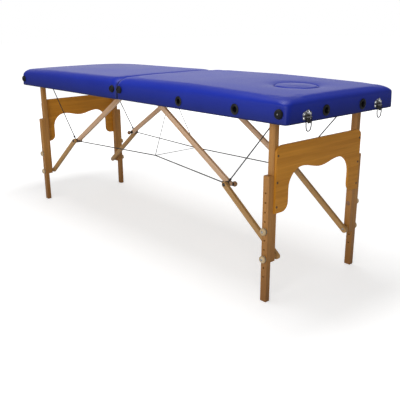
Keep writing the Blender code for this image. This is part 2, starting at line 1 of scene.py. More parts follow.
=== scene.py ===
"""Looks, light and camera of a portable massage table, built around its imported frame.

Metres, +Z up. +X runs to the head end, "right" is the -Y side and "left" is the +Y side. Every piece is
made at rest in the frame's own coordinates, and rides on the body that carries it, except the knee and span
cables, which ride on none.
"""

import json
import math
import random

import bmesh
import bpy
import numpy as np
from mathutils import Matrix, Vector


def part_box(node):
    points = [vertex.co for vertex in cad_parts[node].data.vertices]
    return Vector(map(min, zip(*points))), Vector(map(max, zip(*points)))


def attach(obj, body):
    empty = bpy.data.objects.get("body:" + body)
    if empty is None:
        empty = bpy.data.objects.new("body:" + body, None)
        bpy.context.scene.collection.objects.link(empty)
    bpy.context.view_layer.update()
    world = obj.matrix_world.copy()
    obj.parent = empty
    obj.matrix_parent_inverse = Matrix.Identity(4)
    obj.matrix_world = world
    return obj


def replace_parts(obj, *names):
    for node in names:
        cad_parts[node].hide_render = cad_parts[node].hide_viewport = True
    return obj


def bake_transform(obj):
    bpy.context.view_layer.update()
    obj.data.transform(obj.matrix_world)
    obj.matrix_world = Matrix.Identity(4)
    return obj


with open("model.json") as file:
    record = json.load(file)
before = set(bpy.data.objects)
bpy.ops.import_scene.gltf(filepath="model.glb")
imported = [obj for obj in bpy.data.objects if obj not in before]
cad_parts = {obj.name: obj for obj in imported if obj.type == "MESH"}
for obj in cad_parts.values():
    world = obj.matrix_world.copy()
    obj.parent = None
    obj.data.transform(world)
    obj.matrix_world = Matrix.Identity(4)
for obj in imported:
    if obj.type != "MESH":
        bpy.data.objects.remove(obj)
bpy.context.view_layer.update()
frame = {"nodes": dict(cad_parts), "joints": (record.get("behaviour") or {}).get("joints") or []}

ENDS = {"head": 1, "foot": -1}
SIDES = {"right": -1, "left": 1}
JOINTS = {joint["name"]: joint for joint in frame["joints"]}

# Planes and places that come from the frame
RAIL_LOW, RAIL_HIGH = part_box("head_frame")
PAD_LOW, PAD_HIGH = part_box("head_cushion")
TOP = PAD_HIGH.z
LEG_PIVOT = Vector(JOINTS["head_leg_fold"]["pos_m"])
STRUT_TOP = Vector(JOINTS["head_upper_strut_swing"]["pos_m"])
STRUT_FOOT = Vector(JOINTS["head_lower_strut_swing"]["pos_m"])
HINGE_AXIS_Z = JOINTS["table_fold"]["pos_m"][2]
UPPER_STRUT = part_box("head_left_upper_strut")
LOWER_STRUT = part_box("head_left_lower_strut")
UPPER_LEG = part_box("head_left_upper_leg")
STRUT_HALF_DEPTH = 0.011
KNEE = Vector((UPPER_STRUT[1].x - STRUT_HALF_DEPTH, 0, UPPER_STRUT[0].z + STRUT_HALF_DEPTH))
STRUT_THICKNESS = 0.012
STRUT_INNER = UPPER_STRUT[0].y
KNEE_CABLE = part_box("head_left_knee_cable")
CABLE_Y = (KNEE_CABLE[0].y + KNEE_CABLE[1].y) / 2

# Camera, fitted to the photo
LENS = 50.88
SENSOR = 36
SHIFT = (0.0579, -0.0047)
EYE = (2.0388, -1.5983, 0.9319)
HEADING, PITCH, ROLL = 0.8977, -0.298, -0.0183

# Studio
SOFTBOXES = {  # place, target, size and power
    "overhead": ((0.1, 0.0, 3.1), (0, 0, 0), (1.7, 0.9), 44),
    "backdrop": ((-3.2, 2.5, 1.35), (0, 0, 0.7), (7.0, 2.3), 50),
    "front": ((2.4, -3.0, 1.6), (0.2, 0, 0.5), (2.6, 2.0), 62),
    "side_fill": ((-0.35, -2.6, 0.9), (-0.8, 0, 0.45), (1.6, 1.2), 15),
}
SURROUND_STRENGTH = 0.25
FLOOR_REACH = 30

# Vinyl cover
VINYL_THICKNESS = 0.0012
HEM_WIDTH = 0.014
HEM_DROP = 0.0024
HEM_ROUND = 0.003
CORNER_RADII = (0.009, 0.019, 0.050)
ROLL_RADIUS = 0.036
CELL = 0.0105
SIDE_FALL = 0.004
SEAM_FALL = 0.003
END_FALLS = {"head": (0.0145, 0.52, 1.3), "foot": (0.010, 0.34, 2.0)}
FACE_DIP = 0.003
FOAM_BULGE = 0.0012
PLUG_ROLL = 0.010
PLUG_CROWN = 0.003
PAD_PRESSURE = 4.0
PAD_CAP = 0.0022
PAD_FRAMES = 20
FACE_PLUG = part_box("face_plug")
FACE_CENTRE = (FACE_PLUG[0] + FACE_PLUG[1]) / 2
FACE_RADII = [(FACE_PLUG[1][k] - FACE_PLUG[0][k]) / 2 + 0.001 for k in (0, 1)]
PLUG_LEDGE = 0.010
OPENING_REACH = 2.4
SEAM_REACH = 0.10
PLEAT_DEPTH, PLEAT_RATE = 0.0007, 26

# Hardware
SOCKET_RADIUS = 0.011
FOOT_RADIUS = 0.016
FOOT_SCREW_DEPTH = 0.0085
CABLE_RADIUS = 0.0022
CABLE_START = 0.0096
CABLE_STEP = 0.012
TIE_RADIUS = 0.0013
TIE_HEIGHT = 0.361
SPAN_PULL = {"right": 0.094, "left": 0.151}
ROD_LOOP_RADIUS = 0.0056
KNEE_EYE_RADIUS, KNEE_EYE_WIRE = 0.0098, 0.0014
BAIL_RADIUS = 0.0017
PANEL_SCREW_Y = 0.224
PANEL_SCREW_Z = (0.519, 0.428, 0.344)
RUBBER_FEET = ((0.028, 0.676), (0.901, 0.667))
KNEE_KNOB_OFFSET = (0.0105, -0.0036)
KNEE_KNOB_RADIUS = 0.0105
SIDE_STAPLES, END_STAPLES = 24, 13
SOCKET_Z = 0.663
SOCKET_NAMES = ("end_socket_right", "end_socket_left", "side_socket_1", "side_socket_2")
SOCKETS = [(Vector((PAD_HIGH.x, sy * 0.0995, SOCKET_Z)), (1, 0, 0)) for sy in SIDES.values()]
SOCKETS += [(Vector((x, PAD_LOW.y, SOCKET_Z)), (0, -1, 0)) for x in (0.417, 0.710)]


# ---------------- node materials


class Finish:
    """A node material on a Principled shader, built up by linking small texture steps."""

    def __init__(self, name, roughness=0.5, metallic=0.0, **settings):
        self.material = bpy.data.materials.new(name)
        self.material.use_nodes = True
        self.tree = self.material.node_tree
        self.shader = self.tree.nodes["Principled BSDF"]
        self.shader.inputs["Roughness"].default_value = roughness
        self.shader.inputs["Metallic"].default_value = metallic
        for key, value in settings.items():
            self.shader.inputs[key.replace("_", " ")].default_value = value

    def step(self, kind, sockets, **settings):
        """Adds a node. A socket's value is a number, a colour or another node's output."""
        node = self.tree.nodes.new(kind)
        for key, value in settings.items():
            setattr(node, key, value)
        for key, value in sockets.items():
            if isinstance(value, bpy.types.NodeSocket):
                self.tree.links.new(value, node.inputs[key])
            else:
                node.inputs[key].default_value = value
        return node

    def place(self, scale=(1, 1, 1), turn=(0, 0, 0)):
        """Object coordinates, turned and then stretched."""
        source = self.step("ShaderNodeTexCoord", {}).outputs["Object"]
        turned = self.step("ShaderNodeMapping", {"Vector": source, "Rotation": turn})
        return self.step("ShaderNodeMapping", {"Vector": turned.outputs[0], "Scale": scale}).outputs[0]

    def noise(self, where, scale, detail=3.0, roughness=0.55, distortion=0.0):
        sockets = {"Vector": where, "Scale": scale, "Detail": detail}
        sockets.update({"Roughness": roughness, "Distortion": distortion})
        return self.step("ShaderNodeTexNoise", sockets).outputs["Fac"]

    def cells(self, where, scale, feature="F1"):
        node = self.step("ShaderNodeTexVoronoi", {"Vector": where, "Scale": scale}, feature=feature)
        return node.outputs["Distance"]

    def ribs(self, turn, scale, distortion):
        where = self.place((1, 1, 1), turn)
        node = self.step("ShaderNodeTexWave", {"Vector": where, "Scale": scale, "Distortion": distortion})
        return node.outputs["Fac"]

    def axes(self, where):
        return self.step("ShaderNodeSeparateXYZ", {"Vector": where}).outputs

    def ramp(self, value, stops):
        """A colour ramp through (place, colour) stops."""
        node = self.step("ShaderNodeValToRGB", {"Fac": value})
        elements = node.color_ramp.elements
        while len(elements) < len(stops):
            elements.new(0.5)
        for element, (place, colour) in zip(elements, stops):
            element.position = place
            element.color = (*colour[:3], 1)
        return node.outputs["Color"]

    def span(self, value, low, high, to_low, to_high):
        sockets = {"Value": value, "From Min": low, "From Max": high, "To Min": to_low, "To Max": to_high}
        return self.step("ShaderNodeMapRange", sockets).outputs["Result"]

    def edges(self, low, high, most):
        """A share that grows on convex edges."""
        pointed = self.step("ShaderNodeNewGeometry", {}).outputs["Pointiness"]
        return self.span(pointed, low, high, 0.0, most)

    def maths(self, operation, a, b=0.0):
        return self.step("ShaderNodeMath", {0: a, 1: b}, operation=operation).outputs[0]

    def mix(self, share, a, b, blend="MIX"):
        node = self.step("ShaderNodeMix", {"Factor": share}, data_type="RGBA", blend_type=blend)
        for index, value in ((6, a), (7, b)):
            if isinstance(value, bpy.types.NodeSocket):
                self.tree.links.new(value, node.inputs[index])
            else:
                node.inputs[index].default_value = (*value[:3], 1)
        return node.outputs[2]

    def paint(self, colour):
        self.tree.links.new(colour, self.shader.inputs["Base Color"])

    def gloss(self, value):
        self.tree.links.new(value, self.shader.inputs["Roughness"])

    def relief(self, *layers):
        """Bump from (height, strength, depth) layers, each on top of the last."""
        normal = None
        for height, strength, depth in layers:
            sockets = {"Height": height, "Strength": strength, "Distance": depth}
            if normal:
                sockets["Normal"] = normal
            normal = self.step("ShaderNodeBump", sockets).outputs["Normal"]
        self.tree.links.new(normal, self.shader.inputs["Normal"])


def times(colour, factor):
    return [min(1, c * factor) for c in colour]


def halfway(a, b):
    return [(x + y) / 2 for x, y in zip(a, b)]


def vinyl():
    """Blue vinyl with a fine leather grain, with painted shade low on the sides, along the hem and in the
    seam's groove, and paler on worn edges.
    """
    f = Finish("vinyl", Specular_IOR_Level=0.24, Sheen_Weight=0.06, Sheen_Roughness=0.35)
    where = f.place()
    cloudy = f.noise(where, 4.5, 3)
    fine = f.noise(where, 160, 2)
    base = f.ramp(cloudy, [(0.25, (0.005, 0.019, 0.315)), (0.75, (0.008, 0.026, 0.365))])
    split = f.axes(where)
    height, from_seam = split["Z"], f.maths("ABSOLUTE", split["X"])
    for share, tone in (
        # painted shade, darker towards the bottom of the side
        (f.span(height, RAIL_LOW.z, PAD_LOW.z + 0.016, 0.75, 0.0), (0.003, 0.009, 0.090)),
        # painted shade, a near-black line where the hem turns under the rail
        (f.span(height, RAIL_LOW.z - HEM_DROP, RAIL_LOW.z + 0.004, 0.9, 0.0), (0.002, 0.003, 0.016)),
        # painted shade in the seam's groove between the two halves
        (f.span(from_seam, 0.003, 0.013, 0.85, 0.0), (0.002, 0.004, 0.035)),
        (f.edges(0.515, 0.60, 0.35), (0.024, 0.045, 0.42)),
    ):
        base = f.mix(share, base, tone)
    f.paint(base)
    f.gloss(f.maths("ADD", f.span(cloudy, 0.3, 0.7, 0.42, 0.47), f.span(fine, 0.3, 0.7, -0.03, 0.03)))
    grain = f.cells(where, 620, "SMOOTH_F1")
    creases = f.cells(where, 95, "DISTANCE_TO_EDGE")
    f.relief((creases, 0.05, 0.0004), (grain, 0.18, 0.0002), (fine, 0.06, 0.0003))
    return f.material


def wood(name, pale, dark, along, line_scale=1.0, roughness=0.42, shaded=None):
    """Varnished beech, its straight grain and flecks along a direction; it may take painted shade that
    deepens downwards between two heights.
    """
    f = Finish(name, Specular_IOR_Level=0.35, Coat_Weight=0.10, Coat_Roughness=0.25)
    lean = math.atan2(along[0], along[2])
    tilt = math.atan2(along[1], math.hypot(along[0], along[2]))
    turn = (tilt, -lean, 0)
    fibres = f.noise(f.place((95 * line_scale, 95 * line_scale, 3.2), turn), 1.0, 5, 0.6, 0.35)
    bands = f.noise(f.place((24 * line_scale, 24 * line_scale, 1.1), turn), 1.0, 3, 0.5, 0.6)
    flecks = f.cells(f.place((620, 620, 85), turn), 1.0)
    rings = f.maths("ADD", f.maths("MULTIPLY", fibres, 0.45), f.maths("MULTIPLY", bands, 0.55))
    tone = f.ramp(rings, [(0.30, dark), (0.48, halfway(pale, dark)), (0.66, pale)])
    tone = f.mix(f.span(flecks, 0.10, 0.28, 0.45, 0.0), tone, times(dark, 0.62))
    tone = f.mix(f.edges(0.54, 0.62, 0.4), tone, times(pale, 1.25))
    # painted shade, darker towards the lower of the two heights
    if shaded:
        tone = f.mix(f.span(f.axes(f.place())["Z"], *shaded, 0.85, 0.0), tone, times(dark, 0.8))
    f.paint(tone)
    f.gloss(f.span(rings, 0.3, 0.7, roughness + 0.06, roughness - 0.06))
    f.relief((fibres, 0.16, 0.0006), (flecks, 0.07, 0.0004))
    return f.material


def plywood(name, pale, dark, faces, plies, across="X", roughness=0.4):
    """Sheet plywood: fine straight figure on its faces, and stripes of glued plies where an edge is cut."""
    f = Finish(name, Specular_IOR_Level=0.3)
    stretch = {"X": (1, 2.2, 70), "Z": (2.2, 70, 1)}[across]
    figure = f.noise(f.place(stretch), 1.0, 4, 0.55, 0.5)
    fibres = f.noise(f.place([k * 5 for k in stretch]), 1.0, 3, 0.5)
    middle, glue = halfway(pale, dark), times(dark, 0.55)
    face = f.ramp(figure, [(0.25, dark), (0.48, middle), (0.70, pale)])
    face = f.mix(f.span(fibres, 0.35, 0.65, 0.22, 0.0), face, times(dark, 0.7))
    depth = f.span(f.axes(f.place())[across], *faces, 0.0, plies)
    layer = f.maths("FRACT", f.maths("ABSOLUTE", depth))
    stripes = f.ramp(layer, [(0.0, glue), (0.35, pale), (0.65, middle), (1.0, glue)])
    normal = f.axes(f.step("ShaderNodeTexCoord", {}).outputs["Normal"])
    facing = f.maths("ABSOLUTE", normal[across])
    f.paint(f.mix(f.span(facing, 0.4, 0.7, 0.0, 1.0), stripes, face))
    f.gloss(f.span(figure, 0.3, 0.7, roughness + 0.06, roughness - 0.05))
    f.relief((fibres, 0.10, 0.0004))
    return f.material


def metal(name, colour, roughness, scratch=0.06):
    """Plated metal with a cloudy, finely scratched surface."""
    f = Finish(name, metallic=1.0)
    clouds = f.noise(f.place(), 60, 4)
    scratches = f.noise(f.place((900, 60, 900)), 1.0, 2)
    f.paint(f.ramp(clouds, [(0.3, times(colour, 0.82)), (0.7, colour)]))
    cloudy = f.span(clouds, 0.3, 0.7, roughness, roughness + 0.12)
    f.gloss(f.maths("ADD", cloudy, f.maths("MULTIPLY", scratches, scratch)))
    f.relief((scratches, 0.05, 0.0002))
    return f.material


def moulded(name, colour, roughness):
    """Moulded rubber or plastic with a faint spark-eroded texture and dusty variation."""
    f = Finish(name, Specular_IOR_Level=0.22)
    dust = f.noise(f.place(), 45, 4)
    pits = f.noise(f.place(), 1400, 2)
    f.paint(f.ramp(dust, [(0.3, colour), (0.75, [c * 1.7 + 0.004 for c in colour])]))
    f.gloss(f.span(dust, 0.3, 0.7, roughness - 0.07, roughness + 0.08))
    f.relief((pits, 0.12, 0.0002))
    return f.material


def webbing():
    """Woven strap: diagonal ribs across the width with shaded gaps and a soft sheen."""
    f = Finish("webbing", roughness=0.8, Sheen_Weight=0.35, Sheen_Roughness=0.4)
    weave = f.maths("MAXIMUM", f.ribs((0, 0.6, 0), 190, 0.3), f.ribs((0, -0.6, 0), 190, 0.3))
    tone = f.noise(f.place(), 70, 3)
    shade = f.ramp(weave, [(0.35, (0.008, 0.016, 0.12)), (0.9, (0.035, 0.070, 0.40))])
    f.paint(f.mix(f.span(tone, 0.35, 0.65, 0.0, 0.25), shade, (0.050, 0.085, 0.46)))
    f.relief((weave, 0.5, 0.0005))
    return f.material


def wire_rope():
    """Dark plastic sheath over twisted wire, which shows through as slanting ridges."""
    f = Finish("cable_sheath", roughness=0.4)
    tone = f.noise(f.place(), 30, 3)
    f.paint(f.ramp(tone, [(0.3, (0.008, 0.009, 0.010)), (0.7, (0.022, 0.023, 0.025))]))
    f.gloss(f.span(tone, 0.3, 0.7, 0.32, 0.48))
    f.relief((f.ribs((0.5, 0.7, 0.3), 420, 0.1), 0.35, 0.0004))
    return f.material


def studio_floor():
    """A pale matt floor that reads as white where nothing shades it, and fades to white in the distance."""
    f = Finish("studio_floor", roughness=0.8, Specular_IOR_Level=0.1, Emission_Color=(1, 1, 1, 1))
    tone = f.noise(f.place(), 3, 2)
    f.paint(f.ramp(tone, [(0.3, (0.70, 0.70, 0.70)), (0.7, (0.72, 0.72, 0.72))]))
    away = f.step("ShaderNodeVectorMath", {0: f.place()}, operation="LENGTH").outputs["Value"]
    glow = f.span(away, 1.1, 2.4, 0.50, 0.90)
    strength = f.maths("MULTIPLY", glow, seen_only(f.tree, 0.0, 1.0))
    f.tree.links.new(strength, f.shader.inputs["Emission Strength"])
    return f.material


LEG_PALE, LEG_DARK = (0.45, 0.214, 0.050), (0.26, 0.105, 0.020)
STRUT_TONES = {
    "upper": ((0.67, 0.455, 0.30), (0.44, 0.25, 0.12)),
    "lower": ((0.46, 0.270, 0.100), (0.29, 0.143, 0.040)),
}
RAIL_TONES = (0.48, 0.30, 0.16), (0.28, 0.16, 0.08)
PANEL_FACES = [corner.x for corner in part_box("head_end_panel")]
DECK_FACES = [corner.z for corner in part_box("head_deck")]

LOOKS = {
    "vinyl": vinyl(),
    # the legs' painted shade deepens from 0.30 m down to the floor
    "leg": wood("leg_beech", LEG_PALE, LEG_DARK, (0, 0, 1), shaded=(0.0, 0.30)),
    "rail": wood("rail_beech", *RAIL_TONES, (1, 0, 0), 0.7),
    "batten": wood("batten_beech", *RAIL_TONES, (0, 1, 0), 0.7),
    "panel": plywood("panel_ply", (0.66, 0.282, 0.024), (0.48, 0.183, 0.010), PANEL_FACES, 5),
    "deck": plywood("deck_ply", (0.60, 0.43, 0.25), (0.44, 0.29, 0.15), DECK_FACES, 3, "Z", 0.6),
    "knob": wood("knob_beech", (0.62, 0.47, 0.27), (0.42, 0.29, 0.15), (0, 1, 0), 0.8, 0.36),
    "knee_knob": wood("knee_knob_beech", (0.32, 0.175, 0.085), (0.17, 0.080, 0.038), (0, 1, 0), 0.8, 0.4),
    "steel": metal("zinc_steel", (0.42, 0.42, 0.43), 0.30),
    "chrome": metal("bright_chrome", (0.80, 0.81, 0.82), 0.08, 0.03),
    "dark_steel": metal("dark_steel", (0.085, 0.080, 0.078), 0.34),
    "grey_steel": metal("grey_steel", (0.30, 0.30, 0.31), 0.28),
    "black_steel": metal("black_steel", (0.030, 0.029, 0.030), 0.40),
    "rubber": moulded("black_rubber", (0.004, 0.004, 0.0045), 0.62),
    "plastic": moulded("black_plastic", (0.006, 0.006, 0.0065), 0.34),
    "webbing": webbing(),
    "cable": wire_rope(),
    "thread": moulded("blue_thread", (0.045, 0.075, 0.40), 0.6),
}
for end, sx in ENDS.items():
    for part, run in (("upper", STRUT_TOP - KNEE), ("lower", KNEE - STRUT_FOOT)):
        along = (sx * run.x, 0, run.z)
        LOOKS[f"{end}_{part}_strut"] = wood(f"{end}_{part}_strut_beech", *STRUT_TONES[part], along)


# ---------------- mesh helpers


def added(name, data):
    """A new object in the scene."""
    obj = bpy.data.objects.new(name, data)
    bpy.context.scene.collection.objects.link(obj)
    return obj


def object_from(name, mesh, looks, body, smooth=True):
    """A piece from a mesh, with its materials, riding on a body unless body is None."""
    obj = added(name, mesh)
    for look in looks if isinstance(looks, (list, tuple)) else [looks]:
        mesh.materials.append(LOOKS[look])
    if smooth:
        mesh.shade_smooth()
        mesh.set_sharp_from_angle(angle=math.radians(38))
    if body:
        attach(obj, body)
    return obj


def mesh_of(name, bm):
    """A mesh from a bmesh, which is freed."""
    mesh = bpy.data.meshes.new(name)
    bm.to_mesh(mesh)
    bm.free()
    return mesh


def edited(mesh, change):
    """Runs a change on the mesh's bmesh and writes it back."""
    bm = bmesh.new()
    bm.from_mesh(mesh)
    change(bm)
    bm.to_mesh(mesh)
    bm.free()
    return mesh


def turn_outward(bm):
    bmesh.ops.recalc_face_normals(bm, faces=bm.faces)


def mesh_from(name, points, faces):
    mesh = bpy.data.meshes.new(name)
    mesh.from_pydata([tuple(p) for p in points], [], faces)
    mesh.validate()
    return edited(mesh, turn_outward)


def baked(obj):
    """Replaces an object's mesh with what its modifiers make of it."""
    mesh = bpy.data.meshes.new_from_object(obj.evaluated_get(bpy.context.evaluated_depsgraph_get()))
    obj.modifiers.clear()
    obj.data = mesh
    return obj


def frame_along(direction):
    """Two unit vectors square to a direction."""
    run = Vector(direction).normalized()
    helper = Vector((0, 0, 1)) if abs(run.z) < 0.9 else Vector((1, 0, 0))
    side = run.cross(helper).normalized()
    return side, run.cross(side).normalized()


def turned(name, place, axis, profile, look, body, slot=None, sides=40):
    """A turned piece: (radius, height) pairs swept about an axis; a radius of 0 closes an end to a point."""
    side, up = frame_along(axis)
    run = Vector(axis).normalized()
    points, rings = [], []
    for radius, height in profile:
        centre = Vector(place) + run * height
        count = sides if radius > 0 else 1
        rings.append(list(range(len(points), len(points) + count)))
        for i in range(count):
            angle = 2 * math.pi * i / sides
            points.append(centre + radius * (math.cos(angle) * side + math.sin(angle) * up))
    faces = []
    for low, high in zip(rings, rings[1:]):
        for i in range(sides):
            j = (i + 1) % sides
            a, b = low[i % len(low)], low[j % len(low)]
            c, d = high[j % len(high)], high[i % len(high)]
            corner = [a, b, c, d]
            faces.append([v for k, v in enumerate(corner) if v not in corner[:k]])
    for ring in (rings[0], rings[-1]):
        if len(ring) > 1 and profile[0] != profile[-1]:
            faces.append(ring)
    return object_from(name, mesh_from(name, points, faces), look, body)


def dome(radius, height, base=0.0, steps=7):
    """Profile of a shallow dome from its rim to its crown."""
    turns = [math.pi / 2 * i / steps for i in range(steps + 1)]
    return [(radius * math.cos(t) if t < turns[-1] else 0, base + height * math.sin(t)) for t in turns]


def smooth_path(points, per_span=6):
    """Points along a Catmull-Rom curve through a route."""
    knots = [Vector(p) for p in points]
    knots = [2 * knots[0] - knots[1]] + knots + [2 * knots[-1] - knots[-2]]
    path = []
    for a, b, c, d in zip(knots, knots[1:], knots[2:], knots[3:]):
        for i in range(per_span):
            t = i / per_span
            bend, twist = 2 * a - 5 * b + 4 * c - d, 3 * b - a - 3 * c + d
            path.append(0.5 * (2 * b + (c - a) * t + bend * t**2 + twist * t**3))
    path.append(knots[-2])
    return path


def sweep(bm, path, radii, sides=12, material=0, closed=False):
    """Adds a tube to a bmesh: a ring at each point of the path, each turned little from the last."""
    path = [Vector(p) for p in path]
    count = len(path)
    radii = radii if isinstance(radii, (list, tuple)) else [radii] * count
    rings = []
    side = None
    for i, (centre, radius) in enumerate(zip(path, radii)):
        before = path[(i - 1) % count] if closed or i else path[0]
        after = path[(i + 1) % count] if closed or i < count - 1 else path[-1]
        run = (after - before).normalized()
        side = frame_along(run)[0] if side is None else (side - side.dot(run) * run).normalized()
        up = run.cross(side)
        turns = [2 * math.pi * k / sides for k in range(sides)]
        rings.append([bm.verts.new(centre + radius * (math.cos(t) * side + math.sin(t) * up)) for t in turns])
    pairs = list(zip(rings, rings[1:])) + ([(rings[-1], rings[0])] if closed else [])
    for low, high in pairs:
        for k in range(sides):
            face = bm.faces.new((low[k], low[(k + 1) % sides], high[(k + 1) % sides], high[k]))
            face.material_index = material
    if not closed:
        for ring in (rings[0], rings[-1]):
            bm.faces.new(ring).material_index = material
    return bm


def tube(name, path, radius, looks, body, sides=12, closed=False):
    bm = sweep(bmesh.new(), path, radius, sides, 0, closed)
    turn_outward(bm)
    return object_from(name, mesh_of(name, bm), looks, body)


def extruded(name, outline, axis, low, high, look, body, slot=None, edge=0.0008, segments=2):
    """An outline pushed along an axis, with eased edges."""
    order = {"X": (2, 0, 1), "Y": (0, 2, 1), "Z": (0, 1, 2)}[axis]
    points = []
    for level in (low, high):
        points += [[(a, b, level)[k] for k in order] for a, b in outline]
    count = len(outline)
    faces = [list(range(count)), list(range(2 * count - 1, count - 1, -1))]
    faces += [[i, (i + 1) % count, count + (i + 1) % count, count + i] for i in range(count)]
    obj = object_from(name, mesh_from(name, points, faces), look, body, smooth=False)
    bevel = obj.modifiers.new("eased", "BEVEL")
    bevel.width = edge
    bevel.segments = segments
    bevel.angle_limit = math.radians(35)
    baked(obj)
    obj.data.shade_smooth()
    obj.data.set_sharp_from_angle(angle=math.radians(50))
    return obj


def arc(centre, radius, start, stop, steps):
    turns = [math.radians(start + (stop - start) * i / steps) for i in range(steps + 1)]
    return [(centre[0] + radius * math.cos(t), centre[1] + radius * math.sin(t)) for t in turns]


# ---------------- camera, light and floor


def camera():
    data = bpy.data.cameras.new("camera")
    data.lens = LENS
    data.sensor_width = SENSOR
    data.shift_x, data.shift_y = SHIFT
    obj = added("camera", data)
    obj.location = EYE
    turn = Matrix.Rotation(HEADING, 4, "Z") @ Matrix.Rotation(math.pi / 2 + PITCH, 4, "X")
    obj.rotation_euler = (turn @ Matrix.Rotation(ROLL, 4, "Z")).to_euler()
    bpy.context.scene.camera = obj


def softbox(name, place, target, size, power):
    data = bpy.data.lights.new(name, "AREA")
    data.shape = "RECTANGLE"
    data.size, data.size_y = size
    data.energy = power
    obj = added(name, data)
    obj.location = place
    obj.rotation_euler = (Vector(target) - Vector(place)).to_track_quat("-Z", "Y").to_euler()
    obj.visible_camera = False


def seen_only(tree, hidden, seen):
    """A value that is one number where the camera sees it directly and another for all other light."""
    path = tree.nodes.new("ShaderNodeLightPath")
    blend = tree.nodes.new("ShaderNodeMapRange")
    tree.links.new(path.outputs["Is Camera Ray"], blend.inputs["Value"])
    blend.inputs["To Min"].default_value = hidden
    blend.inputs["To Max"].default_value = seen
    return blend.outputs["Result"]


def studio():
    """A white surround that lights weakly, softboxes round the table, and a floor that fades to white."""
    world = bpy.data.worlds.new("studio")
    world.use_nodes = True
    background = world.node_tree.nodes["Background"]
    background.inputs["Color"].default_value = (1, 1, 1, 1)
    strength = seen_only(world.node_tree, SURROUND_STRENGTH, 1.0)
    world.node_tree.links.new(strength, background.inputs["Strength"])
    bpy.context.scene.world = world
    bpy.context.scene.view_settings.view_transform = "Standard"
    for name, settings in SOFTBOXES.items():
        softbox(name, *settings)
    corners = [(x * FLOOR_REACH, y * FLOOR_REACH, 0) for x, y in ((-1, -1), (1, -1), (1, 1), (-1, 1))]
    floor = added("floor", mesh_from("floor", corners, [[0, 1, 2, 3]]))
    floor.data.materials.append(studio_floor())


# ---------------- cables


def cable_mesh(name, route, radius, ferrules):
    """A cable along straight runs of even rings; ferrules says which ends are crimped, True for its start."""
    path = [Vector(route[0])]
    for start, end in zip(route, route[1:]):
        run = Vector(end) - Vector(start)
        count = max(2, round(run.length / CABLE_STEP))
        path += [Vector(start) + run * (i + 1) / count for i in range(count)]
    bm = sweep(bmesh.new(), path, radius, 10)
    for at_start in ferrules:
        here, there = (route[0], route[1]) if at_start else (route[-1], route[-2])
        run = (Vector(there) - Vector(here)).normalized()
        stretch = [Vector(here) + run * d for d in (0.010, 0.0104, 0.012, 0.019, 0.0206, 0.021)]
        sweep(bm, stretch, [radius * k for k in (1.1, 1.9, 2.1, 2.1, 1.9, 1.1)], 14, 1)
    turn_outward(bm)
    return mesh_of(name, bm)


def cables():
    """The braces' cables: each knee up to the leg rod, knee to knee along each side, and the thin ties."""
    looks = ["cable", "dark_steel"]
    middles = {side: Vector((0, sy * SPAN_PULL[side], TIE_HEIGHT)) for side, sy in SIDES.items()}
    for side, sy in SIDES.items():
        knees = {end: Vector((sx * KNEE.x, sy * CABLE_Y, KNEE.z)) for end, sx in ENDS.items()}
        middle = middles[side]
        for end, sx in ENDS.items():
            top = Vector((sx * LEG_PIVOT.x, sy * CABLE_Y, LEG_PIVOT.z))
            run = (top - knees[end]).normalized()
            name = f"{end}_{side}_knee_line"
            route = [knees[end] + run * CABLE_START, top - run * 0.006]
            mesh = cable_mesh(name, route, CABLE_RADIUS, (True, False))
            line = object_from(name, mesh, looks, None)
            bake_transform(line)
            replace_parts(line, f"{end}_{side}_knee_cable")
        split = middle.lerp(knees["foot"], 0.5)
        starts = {end: knee + (middle - knee).normalized() * CABLE_START for end, knee in knees.items()}
        spans = (
            ("head", [starts["head"], middle], (True,), "head_half", "head_upper_struts"),
            ("middle", [middle, split], (), "head_half", "foot_half"),
            ("foot", [starts["foot"], split], (True,), "foot_half", "foot_upper_struts"),
        )
        for part, route, ferrules, first, second in spans:
            name = f"{side}_span_line_{part}"
            mesh = cable_mesh(name, route, CABLE_RADIUS, ferrules)
            line = object_from(name, mesh, looks, None)
            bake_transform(line)
            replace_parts(line, f"{side}_span_cable")
    ties = [("cross_tie_line", "cross_tie", list(middles.values()))]
    knot = dome(0.0026, 0.0026)
    knot = [(r, -h) for r, h in reversed(knot)] + knot[1:]
    for side, sy in SIDES.items():
        anchor = Vector((0.010, sy * 0.006, RAIL_LOW.z - 0.0025))
        run = (anchor - middles[side]).normalized()
        ties.append((f"{side}_tie_line", f"{side}_centre_tie", [middles[side] + run * 0.002, anchor]))
        turned(f"{side}_tie_knot", middles[side], (1, 0, 0), knot, "cable", "head_half", "cable", 16)
    for name, node, route in ties:
        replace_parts(tube(name, route, TIE_RADIUS, "cable", "head_half"), node)


# ---------------- padded halves


def corner_rounded(x, y, half_x, half_y, radius):
    """Moves a rectangle's points so that its corners become round."""
    qx = np.clip((np.abs(x) - half_x + radius) / radius, 0, 1)
    qy = np.clip((np.abs(y) - half_y + radius) / radius, 0, 1)
    new_x = np.sign(x) * (half_x - radius + radius * qx * np.sqrt(1 - qy * qy / 2))
    new_y = np.sign(y) * (half_y - radius + radius * qy * np.sqrt(1 - qx * qx / 2))
    in_corner = (qx > 0) & (qy > 0)
    return np.where(in_corner, new_x, x), np.where(in_corner, new_y, y)


def opened_out(x, y, centre, radii):
    """Draws the grid round the face opening into ellipses, more and more towards the opening."""
    qx, qy = (x - centre[0]) / radii[0], (y - centre[1]) / radii[1]
    square = np.maximum(np.abs(qx), np.abs(qy))
    share = np.clip((OPENING_REACH - square) / (OPENING_REACH - 1), 0, 1)
    share = share * share * (3 - 2 * share)
    stretch = 1 + share * (square / np.maximum(np.hypot(qx, qy), 1e-9) - 1)
    return centre[0] + qx * stretch * radii[0], centre[1] + qy * stretch * radii[1]


